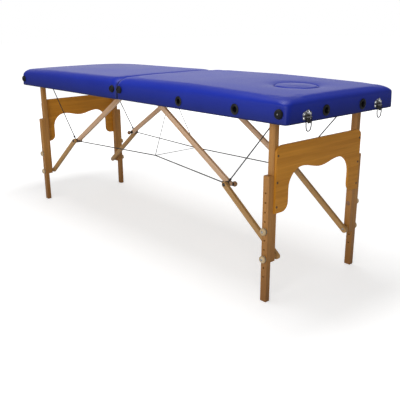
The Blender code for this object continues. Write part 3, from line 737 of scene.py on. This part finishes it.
def fall(end, x, y):
    """How far the top lies below its highest plane, at the end, the sides, the seam and the opening."""
    out = ENDS[end] * x
    depth, reach, power = END_FALLS[end]
    to_end = np.clip(1 - (PAD_HIGH.x - out) / reach, 0, 1)
    to_seam = np.clip(1 - out / SEAM_REACH, 0, 1)
    to_side = np.clip(np.abs(y) / PAD_HIGH.y, 0, 1)
    drop = depth * to_end**power + SEAM_FALL * to_seam**2 + SIDE_FALL * to_side**3
    if end == "head":
        from_rim = np.hypot((x - FACE_CENTRE.x) / FACE_RADII[0], (y - FACE_CENTRE.y) / FACE_RADII[1]) - 1
        drop = drop + FACE_DIP * np.exp(-((from_rim / 0.5) ** 2))
    return drop


def settled(mesh, end):
    """Lowers the top of a flat-topped padded mesh to its soft shape, and the roll below it in proportion."""
    places = coordinates(mesh)
    share = np.clip(1 - (TOP - places[:, 2]) / ROLL_RADIUS, 0, 1)
    places[:, 2] -= share * fall(end, places[:, 0], places[:, 1])
    set_coordinates(mesh, places)


def corner_radius(height, inset):
    """The plan radius of the cover's corners: tight where it is pulled over the rails, wide at the top."""
    levels = (RAIL_LOW.z, PAD_LOW.z, TOP)
    return max(float(np.interp(height, levels, CORNER_RADII)) - inset, 0.006)


def cover_profile():
    """(inset, height) over the roll, down the side, round the rail's lower edge and in along the hem."""
    bottom = RAIL_LOW.z - HEM_DROP
    foot = TOP - ROLL_RADIUS
    profile = []
    for i in range(7, -1, -1):
        turn = math.pi / 2 * i / 8
        profile.append((ROLL_RADIUS * (1 - math.cos(turn)) - FOAM_BULGE, foot + ROLL_RADIUS * math.sin(turn)))
    for i in range(5, -1, -1):
        height = bottom + HEM_ROUND + (foot - bottom - HEM_ROUND) * i / 6
        foam = max(0.0, (height - RAIL_HIGH.z) / (foot - RAIL_HIGH.z))
        profile.append((-FOAM_BULGE * foam, height))
    for turn in (0.52, 1.05, math.pi / 2):
        profile.append((HEM_ROUND * (1 - math.cos(turn)), bottom + HEM_ROUND * (1 - math.sin(turn))))
    return profile + [(HEM_WIDTH * 0.6, bottom), (HEM_WIDTH, bottom)]


def grid_lines(half, marks):
    """Even grid lines from -half to half, with one on each mark."""
    stops = [-half, *marks, half]
    lines = [-half]
    for low, high in zip(stops, stops[1:]):
        count = max(1, round((high - low) / CELL))
        lines += [low + (high - low) * (k + 1) / count for k in range(count)]
    return np.array(lines)


def loop_of(i0, i1, j0, j1):
    """Grid index pairs round a block, in order."""
    loop = [(i, j0) for i in range(i0, i1)] + [(i1, j) for j in range(j0, j1)]
    return loop + [(i, j1) for i in range(i1, i0, -1)] + [(i0, j) for j in range(j1, j0, -1)]


def add_ring(points, faces, ring, places):
    """Joins a new ring of points to the last one and returns its numbers."""
    new = list(range(len(points), len(points) + len(places)))
    points.extend(places)
    count = len(ring)
    faces.extend([ring[k], ring[(k + 1) % count], new[(k + 1) % count], new[k]] for k in range(count))
    return new


def cover_mesh(end):
    """The cover before it fills out: flat top, roll, sides, hem, and the face opening's wall."""
    low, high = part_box(f"{end}_cushion")
    centre = (low + high) / 2
    half_x, half_y = (high.x - low.x) / 2, (high.y - low.y) / 2
    inner_x, inner_y = half_x - ROLL_RADIUS, half_y - ROLL_RADIUS
    rim = (FACE_RADII[0] + PLUG_ROLL, FACE_RADII[1] + PLUG_ROLL)
    hole = (FACE_CENTRE.x - centre.x, FACE_CENTRE.y - centre.y)
    opened = end == "head"
    lines_x = grid_lines(inner_x, [hole[0] - rim[0], hole[0] + rim[0]] if opened else [])
    lines_y = grid_lines(inner_y, [hole[1] - rim[1], hole[1] + rim[1]] if opened else [])
    nx, ny = len(lines_x) - 1, len(lines_y) - 1
    flat_x, flat_y = np.meshgrid(lines_x, lines_y, indexing="ij")
    x, y = corner_rounded(flat_x, flat_y, inner_x, inner_y, CORNER_RADII[2] - ROLL_RADIUS)
    if opened:
        x, y = opened_out(x, y, hole, rim)
    grid = np.stack([x + centre.x, y + centre.y, np.full_like(x, TOP)], -1)
    points = [tuple(p) for p in grid.reshape(-1, 3)]
    number = np.arange(x.size).reshape(x.shape)
    gap = (nx, nx, ny, ny)
    if opened:
        gap_x = [int(np.argmin(np.abs(lines_x - hole[0] - out * rim[0]))) for out in (-1, 1)]
        gap_y = [int(np.argmin(np.abs(lines_y - hole[1] - out * rim[1]))) for out in (-1, 1)]
        gap = (*gap_x, *gap_y)
    faces = []
    for i in range(nx):
        for j in range(ny):
            if not (gap[0] <= i < gap[1] and gap[2] <= j < gap[3]):
                faces.append([int(number[c]) for c in ((i, j), (i + 1, j), (i + 1, j + 1), (i, j + 1))])
    border = loop_of(0, nx, 0, ny)
    ring = [int(number[b]) for b in border]
    share_x = np.array([lines_x[i] / inner_x for i, _ in border])
    share_y = np.array([lines_y[j] / inner_y for _, j in border])
    for inset, height in cover_profile():
        ring_x, ring_y = half_x - inset, half_y - inset
        radius = corner_radius(height, inset)
        px, py = corner_rounded(share_x * ring_x, share_y * ring_y, ring_x, ring_y, radius)
        ring = add_ring(points, faces, ring, [(a + centre.x, b + centre.y, height) for a, b in zip(px, py)])
    if opened:
        ring = [int(number[b]) for b in reversed(loop_of(*gap))]
        turns = []
        for k in ring:
            across = ((points[k][0] - FACE_CENTRE.x) / rim[0], (points[k][1] - FACE_CENTRE.y) / rim[1])
            turns.append(math.atan2(across[1], across[0]))
        for widen, height in hole_profile():
            radii = (FACE_RADII[0] + widen, FACE_RADII[1] + widen)
            ring = add_ring(points, faces, ring, face_ellipse(radii, turns, height))

    def top_up(bm):
        bmesh.ops.delete(bm, geom=[v for v in bm.verts if not v.link_faces], context="VERTS")
        if max(bm.faces, key=lambda face: face.calc_area()).normal.z < 0:
            bmesh.ops.reverse_faces(bm, faces=bm.faces)

    mesh = edited(mesh_from(f"{end}_cover", points, faces), top_up)
    settled(mesh, end)
    return mesh


def face_ellipse(radii, turns, height):
    """Points on an ellipse about the face opening's centre."""
    x, y = FACE_CENTRE.x, FACE_CENTRE.y
    return [(x + radii[0] * math.cos(t), y + radii[1] * math.sin(t), height) for t in turns]


def hole_profile():
    """(how much wider than the opening, height) from the rim's roll down the opening's wall to the deck."""
    profile = []
    for i in range(1, 5):
        turn = math.pi / 2 * i / 4
        profile.append((PLUG_ROLL * (1 - math.sin(turn)), TOP - PLUG_ROLL * (1 - math.cos(turn))))
    wall = TOP - PLUG_ROLL - PAD_LOW.z
    return profile + [(0.0, TOP - PLUG_ROLL - wall * k / 3) for k in (1, 2, 3)]


def filled_out(obj, held):
    """Lets pressure fill a cover like cloth over foam; each point may only move outward, and not far."""
    start = coordinates(obj.data)
    group = obj.vertex_groups.new(name="held")
    group.add([int(i) for i in np.flatnonzero(held(start))], 1.0, "REPLACE")
    cloth = obj.modifiers.new("cloth", "CLOTH")
    cloth.settings.vertex_group_mass = "held"
    cloth.settings.quality = 4
    cloth.settings.mass = 0.15
    cloth.settings.tension_stiffness = 12
    cloth.settings.bending_stiffness = 0.6
    cloth.settings.use_pressure = True
    cloth.settings.uniform_pressure_force = PAD_PRESSURE
    cloth.settings.effector_weights.gravity = 0
    scene = bpy.context.scene
    for number in range(1, PAD_FRAMES + 1):
        scene.frame_set(number)
    moved = coordinates(obj.evaluated_get(bpy.context.evaluated_depsgraph_get()).data) - start
    obj.modifiers.remove(cloth)
    scene.frame_set(1)
    normals = np.zeros(start.size, np.float32)
    obj.data.vertices.foreach_get("normal", normals)
    normals = normals.reshape(-1, 3).astype(float)
    push = np.clip(np.sum(moved * normals, axis=1, keepdims=True), 0, None)
    set_coordinates(obj.data, start + normals * PAD_CAP * np.tanh(push / PAD_CAP))


def coordinates(mesh):
    places = np.zeros(len(mesh.vertices) * 3, np.float32)
    mesh.vertices.foreach_get("co", places)
    return places.reshape(-1, 3).astype(float)


def set_coordinates(mesh, places):
    mesh.vertices.foreach_set("co", places.astype(np.float32).ravel())
    mesh.update()


def corner_pleats(mesh, end):
    """Small gathers in the vinyl where it is folded under at each corner, fading out up the side."""
    low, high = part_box(f"{end}_cushion")
    places = coordinates(mesh)
    reach = CORNER_RADII[1]
    for cx in (low.x + reach, high.x - reach):
        for cy in (low.y + reach, high.y - reach):
            outward = (math.copysign(1, cx - (low.x + high.x) / 2), math.copysign(1, cy))
            dx, dy = (places[:, 0] - cx) * outward[0], (places[:, 1] - cy) * outward[1]
            angle = np.arctan2(dy, dx)
            at_corner = (dx > -0.004) & (dy > -0.004) & (np.hypot(dx, dy) > reach * 0.6)
            rise = np.clip((places[:, 2] - RAIL_LOW.z) / (TOP - ROLL_RADIUS - RAIL_LOW.z), 0, 1)
            fade = np.clip(np.sin(np.clip(angle * 2, 0, math.pi)), 0, 1) * (1 - rise) ** 1.4
            depth = PLEAT_DEPTH * fade * (np.cos(angle * PLEAT_RATE) - 0.6) * at_corner
            places[:, 0] += depth * np.cos(angle) * outward[0]
            places[:, 1] += depth * np.sin(angle) * outward[1]
    set_coordinates(mesh, places)


def punched(obj, holes, radius):
    """Removes the faces behind each socket's flange; holes are (place, axis) pairs."""

    def behind(face):
        for place, axis in holes:
            side = Vector(axis)
            away = face.calc_center_median() - place
            if abs(away.dot(side)) < 0.006 and (away - away.dot(side) * side).length < radius:
                return True
        return False

    def cut(bm):
        bmesh.ops.delete(bm, geom=[face for face in bm.faces if behind(face)], context="FACES")

    edited(obj.data, cut)


def refined(obj):
    """Subdivides a piece once."""
    subdivide = obj.modifiers.new("fine", "SUBSURF")
    subdivide.levels = subdivide.render_levels = 1
    baked(obj)


def finish_pad(obj, body, node):
    obj.data.shade_smooth()
    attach(obj, body)
    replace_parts(obj, node)


def cover(end):
    obj = object_from(f"{end}_cover", cover_mesh(end), "vinyl", None)
    opening_floor = TOP - 0.018

    def held(places):
        from_face = np.hypot(places[:, 0] - FACE_CENTRE.x, places[:, 1] - FACE_CENTRE.y)
        in_opening = (from_face < FACE_RADII[0] + 0.004) & (places[:, 2] < opening_floor)
        return (places[:, 2] < RAIL_HIGH.z + 0.002) | in_opening

    filled_out(obj, held)
    refined(obj)
    corner_pleats(obj.data, end)
    if end == "head":
        punched(obj, SOCKETS, SOCKET_RADIUS + 0.0025)
    skin = obj.modifiers.new("skin", "SOLIDIFY")
    skin.thickness = VINYL_THICKNESS
    skin.offset = -1
    baked(obj)
    finish_pad(obj, f"{end}_half", f"{end}_cushion")


def plug():
    """The face opening's padded plug in the same vinyl, with a boss that fits the deck's hole."""
    sides = 56
    pad = [r - 0.001 for r in FACE_RADII]
    boss = [r - PLUG_LEDGE - 0.001 for r in FACE_RADII]
    foot = PAD_LOW.z + 0.003
    rise = TOP - PLUG_ROLL - foot
    levels = [(boss, DECK_FACES[0], 0.0), (boss, PAD_LOW.z, 0.0), (pad, PAD_LOW.z + 0.0004, 0.002)]
    levels += [(pad, foot + rise * k / 3, 0.0) for k in range(4)]
    for i in range(1, 6):
        turn = math.pi / 2 * i / 5
        levels.append((pad, TOP - PLUG_ROLL * (1 - math.sin(turn)), PLUG_ROLL * (1 - math.cos(turn))))
    for share in (0.82, 0.66, 0.5, 0.34, 0.18, 0.06):
        levels.append(([r * share for r in pad], TOP, 0.0))
    turns = [2 * math.pi * k / sides for k in range(sides)]
    points, faces, ring = [], [], None
    for radii, height, inset in levels:
        places = face_ellipse([r - inset for r in radii], turns, height)
        if ring is None:
            points.extend(places)
            ring = list(range(sides))
            faces.append(ring)
        else:
            ring = add_ring(points, faces, ring, places)
    faces.append(ring)
    mesh = mesh_from("face_plug_pad", points, faces)
    settled(mesh, "head")
    places = coordinates(mesh)
    share = np.clip(1 - (TOP - places[:, 2]) / ROLL_RADIUS, 0, 1)
    places[:, 2] += share * PLUG_CROWN
    set_coordinates(mesh, places)
    obj = object_from("face_plug_pad", mesh, "vinyl", None)
    refined(obj)
    finish_pad(obj, "face_plug", "face_plug")


# ---------------- fittings


def mm(*pairs):
    """A profile or outline given in millimetres."""
    return [(a / 1000, b / 1000) for a, b in pairs]


def sized(radius, *pairs):
    """A profile from (share of a radius, height in millimetres) pairs."""
    return [(radius * share, height / 1000) for share, height in pairs]


BOLT_HEAD = mm((6.8, 0), (7, 0.8), (6, 2.4), (3.6, 3.6), (0, 4))
SMALL_BOLT = [(radius * 0.65, height * 0.7) for radius, height in BOLT_HEAD]
SCREW = (0.9, -1), (1, 0), (0.92, 0.42), (0.6, 0.6), (0.34, 0.63), (0.30, -0.6), (0, -0.84)
HINGE_SCREW = mm((3, -0.6), (3.2, 0.1), (2, 0.2), (1, 0), (0, -0.4))
SOCKET = mm((9.8, -15.5), (10.7, -15.5), (10.7, 0.3), (18, 0.3), (18.5, 0.9), (18.1, 1.7))
SOCKET += mm((16.5, 2.4), (12.8, 3), (10.8, 2.6), (9.8, 1.4), (9.8, -15.5))
SOCKET_FLOOR = mm((9.6, -15.3), (9.6, -14.1), (0, -14.1))
RUBBER_FOOT = sized(FOOT_RADIUS, (0.96, 0.2), (1, 1.2), (0.97, 4), (0.88, 7.5), (0.72, 10.2), (0.52, 11.7))
RUBBER_FOOT += sized(FOOT_RADIUS, (0.30, 12), (0.26, 11), (0.25, 9), (0, 9))
KNOB = (
    (0.70, 0), (0.72, 1.8), (0.80, 3.2), (0.97, 4.6), (1, 6.2), (1, 7.8), (0.95, 9.8), (0.82, 11.6),
    (0.62, 12.7), (0.42, 13.1), (0.36, 12.8), (0.34, 11.6), (0, 11.4),
)
KNOB_STUD = (0.33, 11.2), (0.33, 12.8), (0.27, 13.6), (0.12, 13.9), (0, 13.9)
KNOB_WASHER = (0.40, -0.1), (0.88, -0.1), (0.90, 0.3), (0.88, 0.8), (0.40, 0.8)
TEE_NUT = mm((3.2, -2), (8.5, -0.2), (9, 0.6), (8, 1.3), (5.5, 1.6), (5, 3.2), (3, 3.4), (0, 3))
COLLAR = mm((4.2, 0), (7.8, 0), (8.5, 0.6), (8.5, 1.6), (7.8, 2.2), (4.2, 2.2))
SLEEVE = mm((4.4, 0), (4.4, 4.8), (6, 5), (6, 5.8), (3, 6.4), (0, 6.4))
STEM = mm((4.4, 0), (4.4, 4.2), (0, 4.2))
KNEE_KNOB = sized(KNEE_KNOB_RADIUS, (0.62, 0), (0.86, 1.2), (1, 4.4), (1, 8), (0.90, 11.6), (0.68, 14.2))
KNEE_KNOB += sized(KNEE_KNOB_RADIUS, (0.36, 15.6), (0, 15.8))
LATCH_RING = mm((7.2, 0), (6.6, 3.4), (5, 4.2), (3.6, 2.6), (3.4, 0))
LATCH_LEVER = mm((-0.6, 6), (3.4, 5.8), (6.2, 3), (7, -4), (6.8, -8.5), (8.6, -12.5), (9.8, -17))
LATCH_LEVER += mm((8.6, -20), (7.2, -19.5), (7, -15), (5, -10.5), (2, -9), (-0.6, -8.8))
LATCH_LOBES = (  # (y, z, radius, start, stop, steps) of each arc round the plate, in millimetres and degrees
    (-14.5, -7.5, 7, 180, 285, 6), (14.5, -7.5, 7, 255, 360, 6), (14.5, 5.5, 7, 0, 80, 5),
    (0, 10.5, 9, 20, 160, 8), (-14.5, 5.5, 7, 100, 180, 5),
)


def screw(name, place, axis, body, radius=0.0036, look="dark_steel"):
    """A countersunk screw's head, hollow in its middle for the driver."""
    return turned(name, place, axis, sized(radius, *SCREW), look, body, "steel", 20)


def socket(name, place, axis):
    """A moulded bush with a broad flange, lining a bore of the rail, and its closed end."""
    turned(name, place, axis, SOCKET, "plastic", "head_half", None, 48)
    turned(f"{name}_floor", place, axis, SOCKET_FLOOR, "plastic", "head_half", None, 32)


def rubber_foot(name, place, body):
    """A domed rubber foot, which the folded table stands on, screwed on through its middle."""
    out = Vector((0, -1, 0))
    turned(name, place, out, RUBBER_FOOT, "rubber", body)
    screw(f"{name}_screw", place + out * FOOT_SCREW_DEPTH, out, body, 0.0034, "steel")


def knobs(end, side, sy):
    """Turned clamping knobs with a metal insert, on the outer face of the lower leg."""
    axis = (0, sy, 0)
    for level in ("upper", "lower"):
        name = f"{end}_{side}_{level}_knob"
        low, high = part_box(name)
        middle = (low + high) / 2
        place = Vector((middle.x, sy * min(abs(low.y), abs(high.y)), middle.z))
        radius = (high.x - low.x) / 2
        ball = turned(f"{name}_turned", place, axis, sized(radius, *KNOB), "knob", name, "knob_wood", 44)
        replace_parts(ball, name)
        turned(f"{name}_stud", place, axis, sized(radius, *KNOB_STUD), "steel", name, "steel", 24)
        turned(f"{name}_washer", place, axis, sized(radius, *KNOB_WASHER), "steel", name, "steel", 32)


def eye(name, centre, radius, wire, body):
    """A cable's end, closed to a ring about a pin that lies along Y."""
    turns = [2 * math.pi * k / 24 for k in range(24)]
    ring = [centre + Vector((radius * math.cos(t), 0, radius * math.sin(t))) for t in turns]
    tube(name, ring, wire, "cable", body, 10, closed=True)


def leg_fittings(end, sx):
    """Tee nuts inside the legs, the panel's screws, and the collars and cable loops on the leg rod."""
    body, half = f"{end}_legs", f"{end}_half"
    inner, outer = UPPER_LEG[0].y, UPPER_LEG[1].y
    for side, sy in SIDES.items():
        name = f"{end}_{side}"
        low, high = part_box(f"{name}_upper_knob")
        place = Vector((sx * LEG_PIVOT.x, sy * inner, (low.z + high.z) / 2))
        turned(f"{name}_tee_nut", place, (0, -sy, 0), TEE_NUT, "knee_knob", body, "steel", 32)
        for k, z in enumerate(PANEL_SCREW_Z):
            place = Vector((sx * PANEL_FACES[1], sy * PANEL_SCREW_Y, z))
            screw(f"{name}_panel_screw_{k + 1}", place, (sx, 0, 0), body, 0.0042)
        for k, y in enumerate((inner - 0.0026, outer + 0.0004)):
            place = Vector((sx * LEG_PIVOT.x, sy * y, LEG_PIVOT.z))
            turned(f"{name}_rod_collar_{k + 1}", place, (0, sy, 0), COLLAR, "steel", half, "steel", 28)
        place = Vector((sx * LEG_PIVOT.x, sy * CABLE_Y, LEG_PIVOT.z))
        eye(f"{name}_rod_loop", place, ROD_LOOP_RADIUS, CABLE_RADIUS, half)


def knee_fittings(end, sx):
    """Each knee's bolt, spacer, bracket and turned knob, and the bolts at the struts' other ends."""
    knee = Vector((sx * KNEE.x, 0, KNEE.z))
    stop = knee + Vector((sx * KNEE_KNOB_OFFSET[0], 0, KNEE_KNOB_OFFSET[1]))
    run = (stop - knee).normalized()
    turn = math.degrees(math.atan2(run.z, run.x))
    body = f"{end}_upper_struts"
    plate = arc((knee.x, knee.z), 0.0085, turn + 90, turn + 270, 8)
    plate += arc((stop.x, stop.z), 0.0065, turn - 90, turn + 90, 8)
    outer = STRUT_INNER + STRUT_THICKNESS
    gap = LOWER_STRUT[0].y - outer
    spacer = mm((8.2, 0.2), (9.4, 0.6), (9.4, 2.6), (8.4, 3.4))
    spacer += [(0.0084, gap - 0.0026), (0.0094, gap - 0.0020), (0.0094, gap - 0.0008), (0.0082, gap - 0.0006)]
    plate_face = STRUT_INNER - 0.0018
    for side, sy in SIDES.items():
        name = f"{end}_{side}_knee"
        out = Vector((0, sy, 0))
        head = knee + (LOWER_STRUT[0].y + STRUT_THICKNESS) * out
        turned(f"{name}_bolt", head, out, BOLT_HEAD, "dark_steel", body, "steel", 28)
        turned(f"{name}_spacer", knee + outer * out, out, spacer, "knee_knob", body, "strut_wood", 36)
        faces = sorted((sy * (STRUT_INNER - 0.0003), sy * plate_face))
        extruded(f"{name}_bracket", plate, "Y", *faces, "dark_steel", body, "steel")
        turned(f"{name}_sleeve", knee + plate_face * out, -out, SLEEVE, "dark_steel", body, "steel", 24)
        eye(f"{name}_cable_eye", knee + CABLE_Y * out, KNEE_EYE_RADIUS, KNEE_EYE_WIRE, body)
        turned(f"{name}_stem", stop + plate_face * out, -out, STEM, "dark_steel", body, "steel", 20)
        place = stop + (STRUT_INNER - 0.0058) * out
        turned(f"{name}_knob", place, -out, KNEE_KNOB, "knee_knob", body, "knob_wood", 40)
        name = f"{end}_{side}_strut"
        foot = Vector((sx * STRUT_FOOT.x, sy * LOWER_STRUT[0].y, STRUT_FOOT.z))
        turned(f"{name}_foot_bolt", foot, -out, SMALL_BOLT, "steel", f"{end}_lower_struts", "steel", 28)
        top = Vector((sx * STRUT_TOP.x, sy * outer, STRUT_TOP.z))
        turned(f"{name}_top_bolt", top, out, BOLT_HEAD, "dark_steel", body, "steel", 28)


def hinge_screws():
    """Three screws in each hinge leaf, and the bright end of the near hinge's pin."""
    place = Vector((0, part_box("head_right_hinge_leaf")[0].y + 0.0002, HINGE_AXIS_Z))
    turned("hinge_pin_end", place, (0, -1, 0), dome(0.0046, 0.0018), "chrome", "head_half", "steel", 24)
    for hinge in ("right", "middle", "left"):
        for end, sx in ENDS.items():
            low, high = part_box(f"{end}_{hinge}_hinge_leaf")
            middle, half = (low.y + high.y) / 2, (high.y - low.y) / 2
            for k, (share, rise) in enumerate(((-0.68, 0.029), (0, 0.020), (0.68, 0.029))):
                name = f"{end}_{hinge}_hinge_screw_{k + 1}"
                place = (sx * 0.0004, middle + share * half, HINGE_AXIS_Z + rise)
                turned(name, place, (-sx, 0, 0), HINGE_SCREW, "dark_steel", f"{end}_half", "steel", 20)


def latch(side):
    """A draw latch: a lobed, riveted plate, a ring above a dark lever, its pin, and the wire bail."""
    low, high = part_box(f"{side}_latch_base")
    pin = Vector(JOINTS[f"{side}_bail_swing"]["pos_m"])
    y, back, face = pin.y, low.x, low.x + 0.0021
    front = back + 0.0022
    middle_z = (low.z + high.z) / 2
    body = "head_half"
    out = (1, 0, 0)
    outline = []
    for a, b, radius, start, stop, steps in LATCH_LOBES:
        outline += arc((y + a / 1000, middle_z + b / 1000), radius / 1000, start, stop, steps)
    name = f"{side}_latch_plate"
    plate = extruded(name, outline, "X", back, front, "grey_steel", body, "chrome", 0.0009, 3)
    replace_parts(plate, f"{side}_latch_base")
    outline = [(front + a, pin.z + b) for a, b in LATCH_LEVER]
    sides = (y - 0.0072, y + 0.0072)
    extruded(f"{side}_latch_lever", outline, "Y", *sides, "dark_steel", body, "chrome", 0.0010, 3)
    for letter, sy in zip("ab", SIDES.values()):
        for k, z in enumerate((middle_z - 0.0075, middle_z + 0.0055)):
            name, place = f"{side}_latch_rivet_{letter}{k + 1}", (face, y + sy * 0.0150, z)
            turned(name, place, out, dome(0.0048, 0.0036), "chrome", body, "chrome", 24)
    place = (face, y, middle_z + 0.0125)
    turned(f"{side}_latch_ring", place, out, LATCH_RING, "chrome", body, "chrome", 32)
    turned(f"{side}_latch_ring_centre", place, out, dome(0.0036, 0.0012), "dark_steel", body, "chrome", 20)
    reach = 0.0126
    shape = [(0, -0.0004), (0.0019, 0), (0.0019, 2 * reach), (0, 2 * reach + 0.0004)]
    turned(f"{side}_latch_pin", (pin.x, y - reach, pin.z), (0, 1, 0), shape, "steel", body, "chrome", 20)
    body = f"{side}_latch_bail"
    low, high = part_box(body)
    half = high.y - y - 0.0011
    drop = low.z + 0.0011 - pin.z
    loop = [(0.0104, 0.0002), (half - 0.0012, 0), (half, -0.0028), (half, drop * 0.35)]
    loop += [(half - 0.0012, drop * 0.72), (half * 0.55, drop * 0.95), (0, drop)]
    route = [(pin.x, y - a, pin.z + b) for a, b in loop]
    route += [(pin.x, y + a, pin.z + b) for a, b in reversed(loop[:-1])]
    wire = tube(f"{side}_latch_wire", smooth_path(route), BAIL_RADIUS, "black_steel", body)
    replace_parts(wire, body)


def catch_screws(side):
    low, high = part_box(f"{side}_latch_catch")
    for k, z in enumerate((low.z + 0.006, high.z - 0.0055)):
        place = (high.x - 0.0022, (low.y + high.y) / 2, z)
        screw(f"{side}_catch_screw_{k + 1}", place, (-1, 0, 0), "foot_half", 0.0030)


def handle():
    """A stitched webbing strap, its ends under metal plates."""
    low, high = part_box("carry_handle")
    middle_z = (low.z + high.z) / 2
    width, length = high.z - low.z, high.x - low.x
    face = PAD_HIGH.y + 0.0006
    bow = high.y - 0.0025 - face - 0.002
    steps, thickness, flat = 44, 0.0023, 0.13
    line = []
    for i in range(steps + 1):
        t = i / steps
        rise = math.sin(math.pi * max(0, min(1, (t - flat) / (1 - 2 * flat)))) ** 2
        line.append((low.x + length * t, face + bow * rise))
    across = ((-0.5, 0.0006), (-0.47, 0), (-0.25, 0), (0, 0), (0.25, 0), (0.47, 0), (0.5, 0.0006))
    points, faces = [], []
    for a, b in line:
        points += [(a, b + inset, middle_z + width * z) for z, inset in across]
        points += [(a, b + thickness - inset, middle_z + width * z) for z, inset in reversed(across)]
    ring = 2 * len(across)
    for i in range(steps):
        for k in range(ring):
            j = (k + 1) % ring
            faces.append([i * ring + k, i * ring + j, (i + 1) * ring + j, (i + 1) * ring + k])
    faces += [list(range(ring)), list(range(steps * ring, (steps + 1) * ring))]
    strap = object_from("strap", mesh_from("strap", points, faces), "webbing", "head_half")
    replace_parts(strap, "carry_handle")
    top = face + thickness
    bm = bmesh.new()
    for z in (middle_z - 0.4 * width, middle_z + 0.4 * width):
        seam = [Vector((a, b + thickness + 0.0001, z)) for a, b in line[3:-3]]
        for here, there in zip(seam, seam[1:]):
            run = there - here
            lifted = here + run * 0.5 + Vector((0, 0.0003, 0))
            sweep(bm, [here + run * 0.12, lifted, here + run * 0.88], 0.0003, 6)
    object_from("strap_stitching", mesh_of("strap_stitching", bm), "thread", "head_half")
    for k, x in enumerate((low.x + 0.010, high.x - 0.010)):
        corners = mm((-7, -12), (7, -12), (7, 12), (-7, 12))
        outline = [(x + a, middle_z + b) for a, b in corners]
        name = f"strap_plate_{k + 1}"
        extruded(name, outline, "Y", top, top + 0.0014, "dark_steel", "head_half", "steel", 0.0006)
        for n, z in enumerate((middle_z - 0.007, middle_z + 0.007)):
            place = (x, top + 0.0014, z)
            screw(f"strap_screw_{k + 1}{n + 1}", place, (0, 1, 0), "head_half", 0.0030, "steel")


def underside(end, sx):
    """Staples that hold the hem under the rails, and corner blocks that stiffen the frame."""
    rng = random.Random(7)
    body = f"{end}_half"
    spots = []
    for sy in SIDES.values():
        for k in range(SIDE_STAPLES):
            x = sx * (0.045 + (RAIL_HIGH.x - 0.09) * k / (SIDE_STAPLES - 1)) + rng.uniform(-0.003, 0.003)
            y = sy * (0.2815 + rng.uniform(-0.001, 0.001))
            spots.append((x, y, rng.uniform(-0.5, 0.5)))
    for k in range(END_STAPLES):
        y = -0.25 + 0.5 * k / (END_STAPLES - 1) + rng.uniform(-0.003, 0.003)
        spots.append((sx * (RAIL_HIGH.x - 0.0065), y, math.pi / 2 + rng.uniform(-0.5, 0.5)))
    bm = bmesh.new()
    leg = Vector((0, 0, 0.0012))
    for x, y, turn in spots:
        half = Vector((math.cos(turn), math.sin(turn), 0)) * 0.0048
        centre = Vector((x, y, RAIL_LOW.z - HEM_DROP - 0.0001))
        a, b = centre - half, centre + half
        sweep(bm, [a + leg, a, b, b + leg], 0.00045, 6)
    object_from(f"{end}_staples", mesh_of(f"{end}_staples", bm), "steel", body)
    inner_y = RAIL_HIGH.y - 0.016
    levels = (RAIL_LOW.z + 0.012, RAIL_HIGH.z - 0.001)
    for side, sy in SIDES.items():
        y, reach_y = sy * (inner_y - 0.0002), sy * (inner_y - 0.034)
        for k, (x, run) in enumerate(((RAIL_LOW.x + 0.016, sx), (RAIL_HIGH.x - 0.016, -sx))):
            near, far = sx * x + run * 0.0002, sx * x + run * 0.034
            outline = [(near, y), (far, y), (near, reach_y)]
            name = f"{end}_{side}_corner_block_{k + 1}"
            extruded(name, outline, "Z", *levels, "batten", body, "frame_wood", 0.001)


# ---------------- the whole table


CAD_LOOKS = {
    "_deck": "deck", "_frame": "rail", "_cross_batten": "batten", "_leg_rod": "steel", "_upper_leg": "leg",
    "_lower_leg": "leg", "_end_panel": "panel", "_hinge_leaf": "steel", "_latch_catch": "chrome",
}


def dress_frame():
    """Gives each CAD node that stays its node material."""
    for name, node in frame["nodes"].items():
        look = next((LOOKS[v] for k, v in CAD_LOOKS.items() if name.endswith(k)), None)
        if name.endswith("_strut"):
            look = LOOKS[f"{name.split('_')[0]}_{name.split('_')[2]}_strut"]
        if look:
            node.data.materials.clear()
            node.data.materials.append(look)


camera()
studio()
cables()
dress_frame()
for end, sx in ENDS.items():
    cover(end)
plug()
for name, (place, axis) in zip(SOCKET_NAMES, SOCKETS):
    socket(name, place, axis)
for end, sx in ENDS.items():
    for k, (x, z) in enumerate(RUBBER_FEET):
        rubber_foot(f"{end}_rubber_foot_{k + 1}", Vector((sx * x, PAD_LOW.y, z)), f"{end}_half")
    for side, sy in SIDES.items():
        knobs(end, side, sy)
    leg_fittings(end, sx)
    knee_fittings(end, sx)
    underside(end, sx)
hinge_screws()
for side in SIDES:
    latch(side)
    catch_screws(side)
handle()
